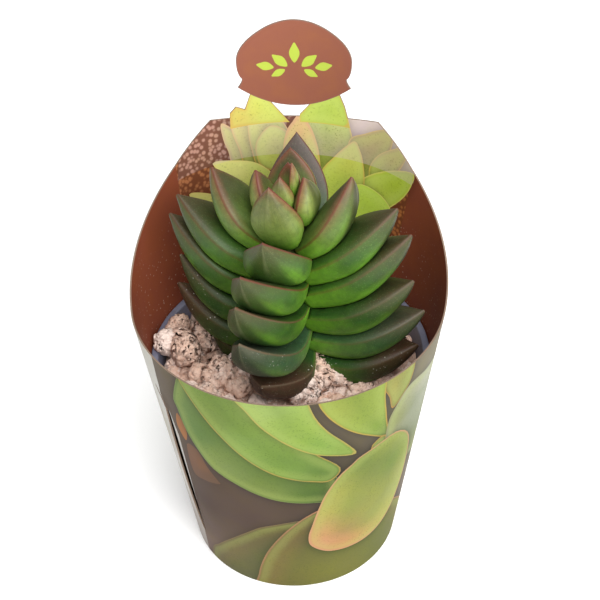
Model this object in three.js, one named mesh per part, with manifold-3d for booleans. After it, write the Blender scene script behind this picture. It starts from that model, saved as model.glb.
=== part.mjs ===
// A small jade plant hybrid in a thin nursery pot, stood in a printed display sleeve of plastic sheet.
// Millimetres, +Z up. The origin is the middle of the pot's floor, -Y is the front, and the sleeve's
// tall back panel stands at +Y. Angles round the pot are measured from the front, positive to the right.
import * as THREE from "three";
import { mergeVertices } from "three/addons/utils/BufferGeometryUtils.js";
import Module from "manifold-3d";

const wasm = await Module();
wasm.setup();

const DEG = Math.PI / 180;
const UP = new THREE.Vector3(0, 0, 1);

// Air left between any two pieces that touch.
const GAP = 0.3;

// ---------------------------------------------------------------- driving dimensions

const POT = {
  rimRadius: 42.5,
  height: 71.5,
  draft: 9.2 * DEG,
  wall: 0.9,
  floor: 1.2,
  rimDepth: 5,
  rimStep: 1.3,
  edgeRadius: 0.5,
  drainHoles: 6,
  drainRadius: 3,
  drainInset: 9,
  sides: 48,
};

const SLEEVE = {
  sheet: 0.5,
  taper: 8.25 * DEG,
  frontRise: 23.3,
  shoulderRise: 44.5,
  cornerRise: 54.5,
  panelRise: 52,
  panelTurn: 176 * DEG,
  cornerAngle: 30 * DEG,
  shoulderAngle: 46.5 * DEG,
  sweepAngle: 100 * DEG,
  sweepPower: 1.3,
  sides: 72,
  cutReach: 5,
};

// The badge's outline, across from its middle and up from the panel's top edge.
const BADGE = {
  halfWidth: 17.8,
  waistHalfWidth: 16.1,
  tipHalfWidth: 17.5,
  lowestRise: 3.7,
  tipRise: 11,
  waistRise: 13.6,
  widestRise: 19.5,
  sideBow: 4.5,
  shoulderHalfWidth: 11.5,
  shoulderDrop: 3.6,
  topRise: 31.4,
};

// The cut that the sleeve's own end locks into.
const SLIT = {
  angle: -56.5 * DEG,
  bottom: 12.6,
  topRise: 7.5,
  hookReach: 5,
  hookHeight: 9,
  width: 1.2,
};

const SOIL = { belowRim: 8.5, dome: 0.6 };
const GRAVEL = { depth: 3.2, lump: 0.7, mound: 0.8 };

const PLANT = {
  rimClearance: 3.5,
  baseBelowRim: 8.5,
  offset: [4.1, 0.8],
  lean: 3.5 * DEG,
  tilt: -3.2 * DEG,
  lowestLeaf: 10.2,
  pitch: 3.9,
  crownStretch: 1.2,
  crownAges: 1.5,
  stemRadius: 2.8,
  stemTopRadius: 0.8,
  stemTaper: 16,
  stemDepth: 14,
  leafWidth: 19,
  leafThickness: 9.4,
  leafEdge: 0.55,
  leafDish: 1.5,
  baseWidthShare: 0.62,
  widestAt: 0.45,
  tipBluntness: 0.9,
  tipNarrowing: 0.12,
  footBody: 0.75,
  tipThinning: 3.2,
};

// How a leaf changes with its age, counted in leaf pairs turned a quarter round from each other.
// Lengths are shares of the plant's spread, widths and thicknesses shares of a full-grown leaf.
const GROWTH = {
  age: [-2, -1, 0, 1, 2, 3, 5, 9, 12],
  length: [0.12, 0.21, 0.37, 0.565, 0.76, 0.84, 1, 1, 0.9],
  width: [0.26, 0.42, 0.61, 0.78, 0.95, 1, 1, 1, 1],
  thickness: [0.24, 0.37, 0.55, 0.67, 0.79, 0.91, 1, 1, 1],
  baseRise: [80, 76, 68, 55, 42, 37, 28, 6, 0],
  tipRise: [88, 86, 84, 75, 65, 59, 46, 46, 28],
  foot: [0.35, 0.6, 1, 1, 1, 1, 1, 1, 1],
};

// The four ranks of leaves, and each leaf's own departure from the rule, youngest first: turned round the
// stem, lifted at its foot and curled up at its tip, in degrees, and stretched in length.
const RANKS = {
  right: {
    azimuth: 71,
    firstAge: 0,
    turn: [-1, 0, 3, 3, -2, 1, -1],
    lift: [2, 0, 1, 4, 3, 1, -1],
    curl: [6, 4, -11, -6, -11, -10, -4],
    stretch: [-1, 0.5, 1, 0.5, -1.5, 0.5, 0],
  },
  left: {
    azimuth: -101,
    firstAge: 0,
    turn: [0, -1, 1, -1, 1, 0, 2],
    lift: [-2, 0, -2, 1, 0, 0, 0],
    curl: [-8, -1, -7, 1, 0, 1, 0],
    stretch: [1, 1, 1.5, 1.5, -3, -1, -4],
  },
  front: {
    azimuth: -23,
    firstAge: 1,
    turn: [4, 8, 0, -3, -2, 0],
    lift: [0, -4, -2, -4, -5, -4],
    curl: [3, -6, 1, 7, 11, -6],
    stretch: [-1, -1, 0, 1, 1, 0],
  },
  back: {
    azimuth: 172,
    firstAge: 1,
    turn: [0, 0, 2, -2, 1, 0],
    lift: [0, 0, -2, 1, 0, 0],
    curl: [0, 1, -4, 3, 0, -3],
    stretch: [0, 1, 0, -0.5, 0, -1],
  },
};
const BUDS = [
  { name: "bud_leaf_front", azimuth: -20, age: -1 },
  { name: "bud_leaf_back", azimuth: 165, age: -1 },
  { name: "bud_leaf_heart", azimuth: 75, age: -2 },
];

// Loose stones on the gravel: angle round the pot, distance from its axis as a share of the room inside
// the wall, length, width and height, the turn of the length, and how far the stone is propped up.
const STONES = [
  { angle: -97, share: 1.08, size: [8, 8, 8], turn: 20, prop: 3.5 },
  { angle: -111, share: 1.03, size: [8, 6, 6], turn: 60, prop: 2.5 },
  { angle: -95, share: 0.93, size: [12, 8, 10], turn: 100, prop: 1 },
  { angle: -110, share: 0.76, size: [11, 10, 9], turn: 30, prop: 1.5 },
  { angle: -119, share: 0.66, size: [12, 9, 8], turn: -30, prop: 1.5 },
  { angle: -90, share: 0.6, size: [8, 5, 4.5], turn: 80, prop: 0 },
  { angle: -72, share: 0.43, size: [11, 8, 7], turn: -40, prop: 1.5 },
  { angle: -70, share: 0.64, size: [11, 9, 8], turn: 10, prop: 0.5 },
  { angle: -77, share: 0.8, size: [7, 6, 6], turn: 50, prop: 0 },
  { angle: -52, share: 0.57, size: [8, 7, 6], turn: 15, prop: 0 },
  { angle: -58, share: 0.85, size: [9, 8, 7], turn: -20, prop: 0 },
  { angle: 28, share: 0.19, size: [9, 5.5, 5], turn: 20, prop: 1 },
  { angle: 43, share: 0.36, size: [13, 11, 9], turn: 95, prop: 0.5 },
  { angle: 61, share: 0.5, size: [11, 10, 8], turn: 30, prop: 0.5 },
  { angle: 68, share: 0.66, size: [7, 5, 4.5], turn: 10, prop: 0 },
  { angle: 70, share: 0.82, size: [8, 6, 5], turn: -15, prop: 0 },
  { angle: 52, share: 0.72, size: [9, 6, 5], turn: 25, prop: 0 },
  { angle: 13, share: 0.47, size: [9, 7, 7], turn: 50, prop: 0.5 },
  { angle: 97, share: 0.96, size: [6, 6, 6], turn: 0, prop: 0 },
  { angle: 40, share: 0.9, size: [10, 8, 7], turn: -50, prop: 0 },
  { angle: -20, share: 0.88, size: [11, 9, 8], turn: 70, prop: 0 },
  { angle: 12, share: 0.8, size: [10, 8, 7], turn: 0, prop: 0 },
  { angle: -152, share: 0.85, size: [10, 8, 7], turn: 40, prop: 0 },
  { angle: 178, share: 0.82, size: [11, 8, 7], turn: 10, prop: 0 },
  { angle: 148, share: 0.86, size: [9, 8, 8], turn: -35, prop: 0 },
];
const STONE_SWELL = 1.08;
const STONE_ROUGHNESS = 0.2;
const STONE_SEAT = 0.8;

// ---------------------------------------------------------------- sizes worked out from them

const SPREAD = POT.rimRadius - PLANT.rimClearance;
const SOIL_TOP = POT.height - SOIL.belowRim;
const GRAVEL_TOP = SOIL_TOP + GRAVEL.depth;

/** Outer radius of the pot's stepped rim at a height. */
function rimOuter(z) {
  return POT.rimRadius - Math.tan(POT.draft) * (POT.height - z);
}

/** Outer radius of the pot's body at a height, without its rim. */
function potOuter(z) {
  return rimOuter(z) - POT.rimStep;
}

/** Inner radius of the pot at a height. */
function potInner(z) {
  return potOuter(z) - POT.wall;
}

/** Outer radius of the sleeve's sheet at a height: it bears on the pot's rim and tapers down from it. */
function sleeveOuter(z) {
  const atRim = POT.rimRadius + GAP + SLEEVE.sheet;
  return atRim + Math.tan(SLEEVE.taper) * (z - POT.height);
}

// ---------------------------------------------------------------- solids

/** A direction round the pot, from the front. */
function outward(angle) {
  return new THREE.Vector3(Math.sin(angle), -Math.cos(angle), 0);
}

/** The point at an angle round the pot, a distance from its axis and a height. */
function polar(angle, radius, z) {
  return outward(angle).multiplyScalar(radius).setZ(z);
}

/** A value read off a table of points by straight lines. */
function along(xs, ys, x) {
  const next = xs.findIndex((value) => value > x);
  if (next < 0) return ys[ys.length - 1];
  if (next === 0) return ys[0];
  const share = (x - xs[next - 1]) / (xs[next] - xs[next - 1]);
  return THREE.MathUtils.lerp(ys[next - 1], ys[next], share);
}

/** A repeatable stream of numbers from 0 to 1. */
function numbersFrom(seed) {
  let state = seed;
  return () => {
    state = (state * 1664525 + 1013904223) % 4294967296;
    return state / 4294967296;
  };
}

/** The geometry of a list of points and the triangles between them. */
function indexed(points, triangles) {
  const geometry = new THREE.BufferGeometry().setFromPoints(points);
  return geometry.setIndex(triangles.flat());
}

/** The manifold solid of a closed geometry, turned so that its faces point out. */
function solidOf(geometry) {
  const bare = geometry.clone();
  bare.deleteAttribute("normal");
  bare.deleteAttribute("uv");
  const merged = mergeVertices(bare, 1e-4);
  const vertProperties = merged.attributes.position.array;
  const triVerts = new Uint32Array(merged.index.array);
  const make = () => new wasm.Manifold(new wasm.Mesh({ numProp: 3, vertProperties, triVerts }));
  const solid = make();
  if (solid.volume() > 0) return solid;
  triVerts.reverse();
  return make();
}

/** A solid's largest single body. */
function largestBody(solid) {
  return solid.decompose().sort((a, b) => b.volume() - a.volume())[0];
}

/** A geometry of a manifold solid. */
function geometryOf(solid) {
  const { vertProperties, triVerts } = solid.getMesh();
  const geometry = new THREE.BufferGeometry();
  geometry.setAttribute("position", new THREE.BufferAttribute(vertProperties.slice(), 3));
  geometry.setIndex(new THREE.BufferAttribute(triVerts.slice(), 1));
  geometry.computeVertexNormals();
  return geometry;
}

/** A named mesh of a solid, in a material of its own. */
function piece(name, solid, colour, roughness) {
  const material = new THREE.MeshStandardMaterial({ color: colour, roughness, metalness: 0 });
  const mesh = new THREE.Mesh(geometryOf(solid), material);
  mesh.name = name;
  return mesh;
}

/** Quads between two rings of points, as triangles. */
function band(first, second, count) {
  const triangles = [];
  for (let i = 0; i < count; i++) {
    const j = (i + 1) % count;
    triangles.push([first + i, second + i, second + j], [first + i, second + j, first + j]);
  }
  return triangles;
}

/** A skin over a row of rings, closed by a point at each end. */
function skin(rings, start, end) {
  const count = rings[0].length;
  const points = [...rings.flat(), start, end];
  const triangles = rings.slice(1).flatMap((_, i) => band(i * count, (i + 1) * count, count));
  const last = (rings.length - 1) * count;
  for (let i = 0; i < count; i++) {
    const j = (i + 1) % count;
    triangles.push([points.length - 2, i, j], [points.length - 1, last + j, last + i]);
  }
  return solidOf(indexed(points, triangles));
}

/** A skin over rings that close on themselves, as a tyre does. */
function hoop(rings) {
  const count = rings[0].length;
  const triangles = rings.flatMap((_, i) =>
    band(i * count, ((i + 1) % rings.length) * count, count),
  );
  return solidOf(indexed(rings.flat(), triangles));
}

/** A turned solid from its outline of [radius, height] pairs. */
function turned(outline, sides) {
  const profile = outline.map(([radius, z]) => new THREE.Vector2(radius, z));
  const geometry = new THREE.LatheGeometry(profile, sides).rotateX(Math.PI / 2);
  return solidOf(geometry);
}

// ---------------------------------------------------------------- pot, soil and gravel

/** The thin pot with its stepped rim and its drain holes. */
function potSolid() {
  const { rimRadius, height, rimDepth, edgeRadius, floor, sides } = POT;
  const skirt = height - rimDepth;
  const body = turned(
    [
      [0, 0],
      [potOuter(0) - 1, 0],
      [potOuter(0), 1],
      [potOuter(skirt), skirt],
      [rimOuter(skirt) - edgeRadius, skirt],
      [rimOuter(skirt), skirt + edgeRadius],
      [rimOuter(height - edgeRadius), height - edgeRadius],
      [rimRadius - edgeRadius, height],
      [potInner(height) + edgeRadius, height],
      [potInner(height), height - edgeRadius],
      [potInner(floor + 1), floor + 1],
      [potInner(floor) - 1, floor],
      [0, floor],
    ],
    sides,
  );
  const circle = potInner(floor) - POT.drainInset;
  const drill = new THREE.CylinderGeometry(POT.drainRadius, POT.drainRadius, 4 * floor, 16);
  drill.rotateX(Math.PI / 2);
  let pot = body;
  for (let i = 0; i < POT.drainHoles; i++) {
    const at = polar((i * 2 * Math.PI) / POT.drainHoles, circle, 0);
    pot = pot.subtract(solidOf(drill.clone().translate(at.x, at.y, floor / 2)));
  }
  return pot;
}

/** Compost filling the pot from just above its floor. */
function soilSolid() {
  const bottom = POT.floor + GAP;
  const side = (z) => potInner(z) - GAP;
  return turned(
    [
      [0, bottom],
      [side(bottom) - 2, bottom],
      [side(bottom + 2), bottom + 2],
      [side(SOIL_TOP - 1), SOIL_TOP - 1],
      [side(SOIL_TOP) - 1, SOIL_TOP],
      [0, SOIL_TOP + SOIL.dome],
    ],
    POT.sides,
  );
}

/** Height of the gravel's uneven top, lifted a little towards the middle. */
function gravelHeight(x, y) {
  const share = Math.hypot(x, y) / potInner(GRAVEL_TOP);
  const lumps = Math.sin(x * 0.55 + 1.3) * Math.cos(y * 0.62) + Math.sin(0.31 * x - 0.47 * y);
  return GRAVEL_TOP + GRAVEL.mound * (1 - share * share) + (GRAVEL.lump * lumps) / 2;
}

/** The bed of fine gravel on the compost, its top raised by an extra height. */
function gravelSolid(extra) {
  const around = 32;
  const shares = [1, 0.97, 0.8, 0.6, 0.4, 0.2];
  const bottom = SOIL_TOP + SOIL.dome + GAP;
  const ring = (radius, height) =>
    Array.from({ length: around }, (_, i) => {
      const point = polar((i * 2 * Math.PI) / around, radius, 0);
      return point.setZ(height(point.x, point.y));
    });
  const room = potInner(bottom) - GAP;
  const rings = shares.map((share) => ring(room * share, (x, y) => gravelHeight(x, y) + extra));
  rings.unshift(ring(room, () => bottom));
  const middle = new THREE.Vector3(0, 0, gravelHeight(0, 0) + extra);
  return skin(rings, new THREE.Vector3(0, 0, bottom), middle);
}

// ---------------------------------------------------------------- sleeve

/** Height of the sleeve's top edge at an angle from the middle of the back panel, badge aside. */
function sleeveEdge(angle) {
  const { cornerAngle, shoulderAngle, sweepAngle, sweepPower } = SLEEVE;
  const { frontRise, shoulderRise, cornerRise, panelRise } = SLEEVE;
  const away = Math.abs(angle);
  const lerp = THREE.MathUtils.lerp;
  if (away >= sweepAngle) return POT.height + frontRise;
  if (away >= shoulderAngle) {
    const climb = ((sweepAngle - away) / (sweepAngle - shoulderAngle)) ** sweepPower;
    return POT.height + lerp(frontRise, shoulderRise, climb);
  }
  if (away >= cornerAngle) {
    const climb = (shoulderAngle - away) / (shoulderAngle - cornerAngle);
    return POT.height + lerp(shoulderRise, cornerRise, climb);
  }
  return POT.height + lerp(panelRise, cornerRise, (away / cornerAngle) ** 2);
}

/** Angles from one to another in equal steps, the last left out. */
function steps(from, to, count) {
  return Array.from({ length: count }, (_, i) => from + ((to - from) * i) / count);
}

/** A cutter over an outline on the sleeve, running in and out through the sheet. */
function throughSheet(outline, angle) {
  const reach = 1.4 * SLEEVE.cutReach;
  const at = ([across, z], offset) => {
    const radius = sleeveOuter(z);
    return polar(angle + across / radius, radius + offset, z);
  };
  const flat = outline.map(([across, z]) => new THREE.Vector2(across, z));
  const ordered = THREE.ShapeUtils.isClockWise(flat) ? [...outline].reverse() : outline;
  const count = ordered.length;
  const corners = ordered.map(([across, z]) => new THREE.Vector2(across, z));
  const faces = THREE.ShapeUtils.triangulateShape(corners, []);
  const points = [...ordered.map((p) => at(p, -reach)), ...ordered.map((p) => at(p, reach))];
  const outer = faces.map(([a, b, c]) => [count + a, count + c, count + b]);
  return solidOf(indexed(points, [...faces, ...outer, ...band(0, count, count)]));
}

/** The badge's outline as [across, height] pairs: an oval top, a waist and a bowed foot. */
function badgeOutline() {
  const { halfWidth, waistHalfWidth, tipHalfWidth, shoulderHalfWidth, sideBow } = BADGE;
  const { lowestRise, tipRise, waistRise, widestRise, shoulderDrop, topRise } = BADGE;
  const half = new THREE.Path();
  half.moveTo(0, lowestRise);
  half.quadraticCurveTo(tipHalfWidth / 2, lowestRise, tipHalfWidth, tipRise);
  half.quadraticCurveTo(waistHalfWidth, waistRise - 1, waistHalfWidth, waistRise);
  half.quadraticCurveTo(halfWidth, widestRise - sideBow, halfWidth, widestRise);
  half.quadraticCurveTo(halfWidth, widestRise + sideBow, shoulderHalfWidth, topRise - shoulderDrop);
  half.quadraticCurveTo(shoulderHalfWidth / 2, topRise, 0, topRise);
  const right = half.getPoints(5).map(({ x, y }) => [x, POT.height + SLEEVE.panelRise + y]);
  const left = right.slice(1, -1).map(([across, z]) => [-across, z]);
  return [...right, ...left.reverse()];
}

/** The two cut-out leaf shapes that carry the badge above the panel, as [across, height] outlines. */
function neckOutlines() {
  const edge = POT.height + SLEEVE.panelRise;
  const rightToLeft = [
    [20.5, -2],
    [20.4, 3],
    [18.4, 4.8],
    [15.6, 3.4],
    [14.9, 5.2],
    [13.6, 8.6],
    [9.6, 7.6],
    [4.6, 1.4],
    [1.8, -2],
  ];
  const leftToRight = [
    [-1.4, -2],
    [-1.4, 0.6],
    [-4.6, 4.2],
    [-8, 7.5],
    [-14, 8.2],
    [-15.6, 4.6],
    [-17.4, -2],
  ];
  return [rightToLeft, leftToRight].map((side) => side.map(([x, rise]) => [x, edge + rise]));
}

/** The locking cut's outline: a long straight slit whose top end hooks to the left. */
function slitOutline() {
  const top = POT.height + SLIT.topRise;
  const half = SLIT.width / 2;
  const bend = top - SLIT.hookHeight;
  return [
    [-half, SLIT.bottom],
    [half, SLIT.bottom],
    [half, bend],
    [-half, bend + 0.55 * SLIT.hookHeight],
    [-SLIT.hookReach, top + half],
    [-SLIT.hookReach - half, top - half],
    [-2 * half, bend + 0.3 * SLIT.hookHeight],
  ];
}

/** The sleeve: a tapering ring of sheet, cut down to its outline, with the badge and the slit. */
function sleeveSolid() {
  const { sheet, sides, panelTurn, cornerAngle, shoulderAngle, sweepAngle } = SLEEVE;
  const top = POT.height + SLEEVE.panelRise + BADGE.topRise + 1;
  const ring = turned(
    [
      [sleeveOuter(0) - sheet, 0],
      [sleeveOuter(0), 0],
      [sleeveOuter(top), top],
      [sleeveOuter(top) - sheet, top],
      [sleeveOuter(0) - sheet, 0],
    ],
    sides,
  );
  // The turns at which the top edge is drawn, closer together where it climbs.
  const turns = [
    ...steps(sweepAngle - 2 * Math.PI, -sweepAngle, 16),
    ...steps(-sweepAngle, -shoulderAngle, 9),
    ...steps(-shoulderAngle, -cornerAngle, 2),
    ...steps(-cornerAngle, cornerAngle, 10),
    ...steps(cornerAngle, shoulderAngle, 2),
    ...steps(shoulderAngle, sweepAngle, 9),
  ];
  const reach = SLEEVE.cutReach;
  const waste = hoop(
    turns.map((turn) => {
      const wrapped = turn < -Math.PI ? turn + 2 * Math.PI : turn;
      const edge = sleeveEdge(wrapped);
      const corner = (z, offset) => polar(panelTurn + turn, sleeveOuter(z) + offset, z);
      return [corner(edge, -reach), corner(edge, reach), corner(top + 2, reach), corner(top + 2, -reach)];
    }),
  );
  const kept = [badgeOutline(), ...neckOutlines()].map((outline) => throughSheet(outline, panelTurn));
  const cut = kept.reduce((solid, shape) => solid.subtract(shape), waste);
  return ring.subtract(cut).subtract(throughSheet(slitOutline(), SLIT.angle));
}

// ---------------------------------------------------------------- plant

/** Height of a leaf pair above the plant's foot, by its age: the pairs spread a little at the crown. */
function stackHeight(age) {
  const oldest = GROWTH.age.at(-1);
  const spread = PLANT.crownStretch * Math.exp(-Math.max(age, 0) / PLANT.crownAges);
  return PLANT.lowestLeaf + PLANT.pitch * (oldest - age) + spread;
}

/** The stem, from inside the compost to the bud, grown outwards by a margin. */
function stemSolid(margin) {
  const { stemRadius, stemTopRadius, stemTaper, stemDepth } = PLANT;
  const top = stackHeight(-2);
  return turned(
    [
      [0, -stemDepth - margin],
      [stemRadius + margin, -stemDepth - margin],
      [stemRadius + margin, top - stemTaper],
      [stemTopRadius + margin, top + margin],
      [0, top + margin],
    ],
    12,
  );
}

/** Half the leaf's width at a share of its length, as a share of the widest: broad foot, pointed tip. */
function leafOutline(u) {
  const { baseWidthShare, widestAt, tipBluntness, tipNarrowing } = PLANT;
  if (u < widestAt) {
    return baseWidthShare + (1 - baseWidthShare) * Math.sin((Math.PI / 2) * (u / widestAt));
  }
  const v = (u - widestAt) / (1 - widestAt);
  return (1 - v * v) ** tipBluntness * (1 - tipNarrowing * v);
}

/** The leaf's thickness at a share of its length, as a share of the thickest. */
function leafBody(u) {
  const { footBody, tipThinning } = PLANT;
  const swell = footBody + (1 - footBody) * Math.sin(Math.PI * Math.min(u, 0.5));
  return swell * (1 - u ** tipThinning);
}

/** A leaf, grown outwards by a margin: it curves up along its length, with a boat-shaped section. */
function leafSolid(leaf, margin) {
  const stations = [0, 0.15, 0.35, 0.55, 0.74, 0.88, 0.97];
  const corners = 8;
  const size = (key) => along(GROWTH.age, GROWTH[key], leaf.age);
  const length = SPREAD * size("length") + leaf.stretch;
  const halfWidth = (PLANT.leafWidth / 2) * size("width");
  const thickness = PLANT.leafThickness * size("thickness");
  const rise = (size("baseRise") + leaf.lift) * DEG;
  const curve = (size("tipRise") + leaf.curl) * DEG - rise;
  const foot = (PLANT.stemRadius + GAP) * size("foot");
  const out = outward(leaf.azimuth * DEG);
  const across = new THREE.Vector3().crossVectors(UP, out);
  const start = out.clone().multiplyScalar(foot).setZ(stackHeight(leaf.age));
  const centre = (u) => {
    const end = rise + curve * u;
    const reach = (length * (Math.sin(end) - Math.sin(rise))) / curve;
    const climb = (length * (Math.cos(rise) - Math.cos(end))) / curve;
    return start.clone().addScaledVector(out, reach).addScaledVector(UP, climb);
  };
  const tangent = (u) => {
    const angle = rise + curve * u;
    return out.clone().multiplyScalar(Math.cos(angle)).addScaledVector(UP, Math.sin(angle));
  };
  const section = (u) => {
    const normal = new THREE.Vector3().crossVectors(tangent(u), across);
    const wide = halfWidth * leafOutline(u) + margin;
    const deep = thickness * leafBody(u) + margin;
    const edge = PLANT.leafEdge * size("thickness") + margin;
    const dish = PLANT.leafDish * size("width") * leafOutline(u);
    return Array.from({ length: corners }, (_, i) => {
      const turn = (2 * Math.PI * i) / corners;
      const sine = Math.sin(turn);
      const height = sine > 0 ? edge * sine ** 0.6 - dish * sine * sine : -deep * (-sine) ** 0.9;
      const point = centre(u).addScaledVector(tangent(0), u === 0 ? -margin : 0);
      return point.addScaledVector(across, wide * Math.cos(turn)).addScaledVector(normal, height);
    });
  };
  const base = centre(0).addScaledVector(tangent(0), -margin);
  const tip = centre(1).addScaledVector(tangent(1), 2 * margin);
  const middle = new THREE.Vector3().crossVectors(tangent(0), across);
  base.addScaledVector(middle, (-thickness * leafBody(0)) / 2);
  return skin(stations.map(section), base, tip);
}

/** Every leaf of the plant, youngest first. */
function allLeaves() {
  const ranked = Object.entries(RANKS).flatMap(([name, rank]) =>
    rank.turn.map((turn, i) => ({
      name: `leaf_${name}_${i + 1}`,
      azimuth: rank.azimuth + turn,
      age: rank.firstAge + 2 * i,
      lift: rank.lift[i],
      curl: rank.curl[i],
      stretch: rank.stretch[i],
    })),
  );
  const buds = BUDS.map((bud) => ({ ...bud, lift: 0, curl: 0, stretch: 0 }));
  return [...buds, ...ranked].sort((a, b) => a.age - b.age);
}

const plant = new THREE.Group();
plant.position.set(...PLANT.offset, POT.height - PLANT.baseBelowRim);
plant.rotation.set(-PLANT.lean, PLANT.tilt, 0, "YXZ");
plant.updateMatrixWorld(true);

/** A solid of the plant's own frame, moved to where it stands. */
function planted(solid) {
  return solidOf(geometryOf(solid).applyMatrix4(plant.matrixWorld));
}

const LEAF_GREENS = ["#7d7a4e", "#5f7343", "#446a38", "#33572f"];
const clearOfLeaves = [];
const clearOfStem = stemSolid(GAP);
plant.add(piece("stem", stemSolid(0), "#6d6a45", 0.7));
for (const leaf of allLeaves()) {
  const clear = clearOfLeaves.reduce((solid, other) => solid.subtract(other), leafSolid(leaf, 0));
  const solid = largestBody(clear.subtract(clearOfStem));
  const green = LEAF_GREENS[Math.min(3, Math.max(0, Math.floor(leaf.age / 2.5)))];
  plant.add(piece(leaf.name, solid, green, 0.5));
  clearOfLeaves.push(leafSolid(leaf, GAP));
}

// ---------------------------------------------------------------- stones

/** One rough stone, grown by a margin, lying on the gravel. */
function stoneSolid(stone, index, margin) {
  const random = numbersFrom(index + 11);
  const half = stone.size.map((side) => side / 2);
  const ball = new THREE.IcosahedronGeometry(1, 1);
  ball.deleteAttribute("normal");
  ball.deleteAttribute("uv");
  const merged = mergeVertices(ball, 1e-4);
  const positions = merged.attributes.position;
  for (let i = 0; i < positions.count; i++) {
    const swell = STONE_SWELL - STONE_ROUGHNESS * random();
    const corner = new THREE.Vector3().fromBufferAttribute(positions, i).multiplyScalar(swell);
    corner.set(...corner.toArray().map((value, axis) => value * (half[axis] + margin)));
    positions.setXYZ(i, corner.x, corner.y, corner.z);
  }
  const room = potInner(GRAVEL_TOP) - GAP - Math.min(half[0], half[1]);
  const at = polar(stone.angle * DEG, room * stone.share, 0);
  const height = gravelHeight(at.x, at.y) + STONE_SEAT * half[2] + stone.prop;
  merged.rotateZ(stone.turn * DEG).translate(at.x, at.y, height);
  return solidOf(merged);
}

const stones = new THREE.Group();
const overRim = POT.height + GAP;
const lid = POT.height + SLEEVE.frontRise;
const room = turned(
  [
    [0, 0],
    [potInner(0) - GAP, 0],
    [potInner(overRim) - GAP, overRim],
    [sleeveOuter(overRim) - SLEEVE.sheet - GAP, overRim],
    [sleeveOuter(lid) - SLEEVE.sheet - GAP, lid],
    [0, lid],
  ],
  POT.sides,
);
const plantClear = [...clearOfLeaves, clearOfStem].map(planted);
const stonesClear = [];
STONES.forEach((stone, i) => {
  const whole = stoneSolid(stone, i, 0).intersect(room).subtract(gravelSolid(GAP));
  const cut = [...plantClear, ...stonesClear].reduce((solid, other) => solid.subtract(other), whole);
  stones.add(piece(`stone_${String(i + 1).padStart(2, "0")}`, largestBody(cut), "#c9ac96", 0.95));
  stonesClear.push(stoneSolid(stone, i, GAP));
});

// ---------------------------------------------------------------- the whole

/** A layer of the pot's filling with the room that the stem and the leaves take up in it cut out. */
function pressedAside(layer) {
  return largestBody(plantClear.reduce((solid, other) => solid.subtract(other), layer));
}

const pottedPlant = new THREE.Group();
pottedPlant.add(
  piece("pot", potSolid(), "#8d90a0", 0.55),
  piece("soil", pressedAside(soilSolid()), "#3a2a20", 1),
  piece("gravel_bed", pressedAside(gravelSolid(0)), "#b79a86", 0.95),
  piece("sleeve", sleeveSolid(), "#7a4a3a", 0.5),
  plant,
  stones,
);

export default pottedPlant;
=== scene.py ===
"""A small potted jade plant hybrid in its printed display sleeve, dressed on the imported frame.

Sizes are in millimetres and become metres where a mesh is made. -Y is the front and +Y the back, where the
sleeve's tall panel stands. Angles round the pot are measured from the front, positive to the right.
"""

import logging
import math
from collections.abc import Iterable, Sequence
from dataclasses import dataclass, field, fields, replace
from enum import Enum
from functools import partial

import bmesh
import bpy
import numpy as np
from mathutils import Euler, Matrix, Vector, noise
from mathutils.bvhtree import BVHTree
from mathutils.geometry import delaunay_2d_cdt


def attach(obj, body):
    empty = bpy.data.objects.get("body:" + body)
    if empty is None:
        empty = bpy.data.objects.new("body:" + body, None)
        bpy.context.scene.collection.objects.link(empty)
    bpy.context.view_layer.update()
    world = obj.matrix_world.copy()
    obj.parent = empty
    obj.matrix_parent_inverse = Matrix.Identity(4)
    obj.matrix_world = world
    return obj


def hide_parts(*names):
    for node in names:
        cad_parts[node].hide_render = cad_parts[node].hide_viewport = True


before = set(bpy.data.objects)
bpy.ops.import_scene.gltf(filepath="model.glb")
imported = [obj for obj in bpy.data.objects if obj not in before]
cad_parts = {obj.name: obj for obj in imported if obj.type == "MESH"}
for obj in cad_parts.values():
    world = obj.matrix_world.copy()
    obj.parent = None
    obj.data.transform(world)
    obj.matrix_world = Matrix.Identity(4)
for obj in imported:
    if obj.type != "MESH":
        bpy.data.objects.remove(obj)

log = logging.getLogger("jade_plant")

MM = 0.001
GAP = 0.3

Colour = tuple[float, float, float]
Place = tuple[float, float, float]


def paint(red: float, green: float, blue: float) -> Colour:
    """A colour from its everyday 0 to 255 values, as the linear light that the shaders take.

    Args:
        red: Its red.
        green: Its green.
        blue: Its blue.

    Returns:
        The colour.
    """

    def linear(value: float) -> float:
        """One channel, from its everyday value."""
        share = value / 255
        return share / 12.92 if share <= 0.04045 else ((share + 0.055) / 1.055) ** 2.4

    return linear(red), linear(green), linear(blue)


# ---- shader maths


class Wire:
    """An output socket of a material's nodes, on which sums are written as Python expressions."""

    def __init__(self, recipe: "Recipe", socket: bpy.types.NodeSocket) -> None:
        """Keeps the socket and the recipe that it belongs to.

        Args:
            recipe: The material's recipe.
            socket: The output socket.
        """
        self.recipe = recipe
        self.socket = socket

    def _sum(self, operation: str, first: "Value", second: "Value") -> "Wire":
        """One Math node on two values."""
        return self.recipe.math(operation, first, second)

    def __add__(self, other: "Value") -> "Wire":
        """This plus another."""
        return self._sum("ADD", self, other)

    def __radd__(self, other: "Value") -> "Wire":
        """Another plus this."""
        return self._sum("ADD", other, self)

    def __sub__(self, other: "Value") -> "Wire":
        """This less another."""
        return self._sum("SUBTRACT", self, other)

    def __rsub__(self, other: "Value") -> "Wire":
        """Another less this."""
        return self._sum("SUBTRACT", other, self)

    def __mul__(self, other: "Value") -> "Wire":
        """This times another."""
        return self._sum("MULTIPLY", self, other)

    def __rmul__(self, other: "Value") -> "Wire":
        """Another times this."""
        return self._sum("MULTIPLY", other, self)

    def __truediv__(self, other: "Value") -> "Wire":
        """This over another."""
        return self._sum("DIVIDE", self, other)


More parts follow.
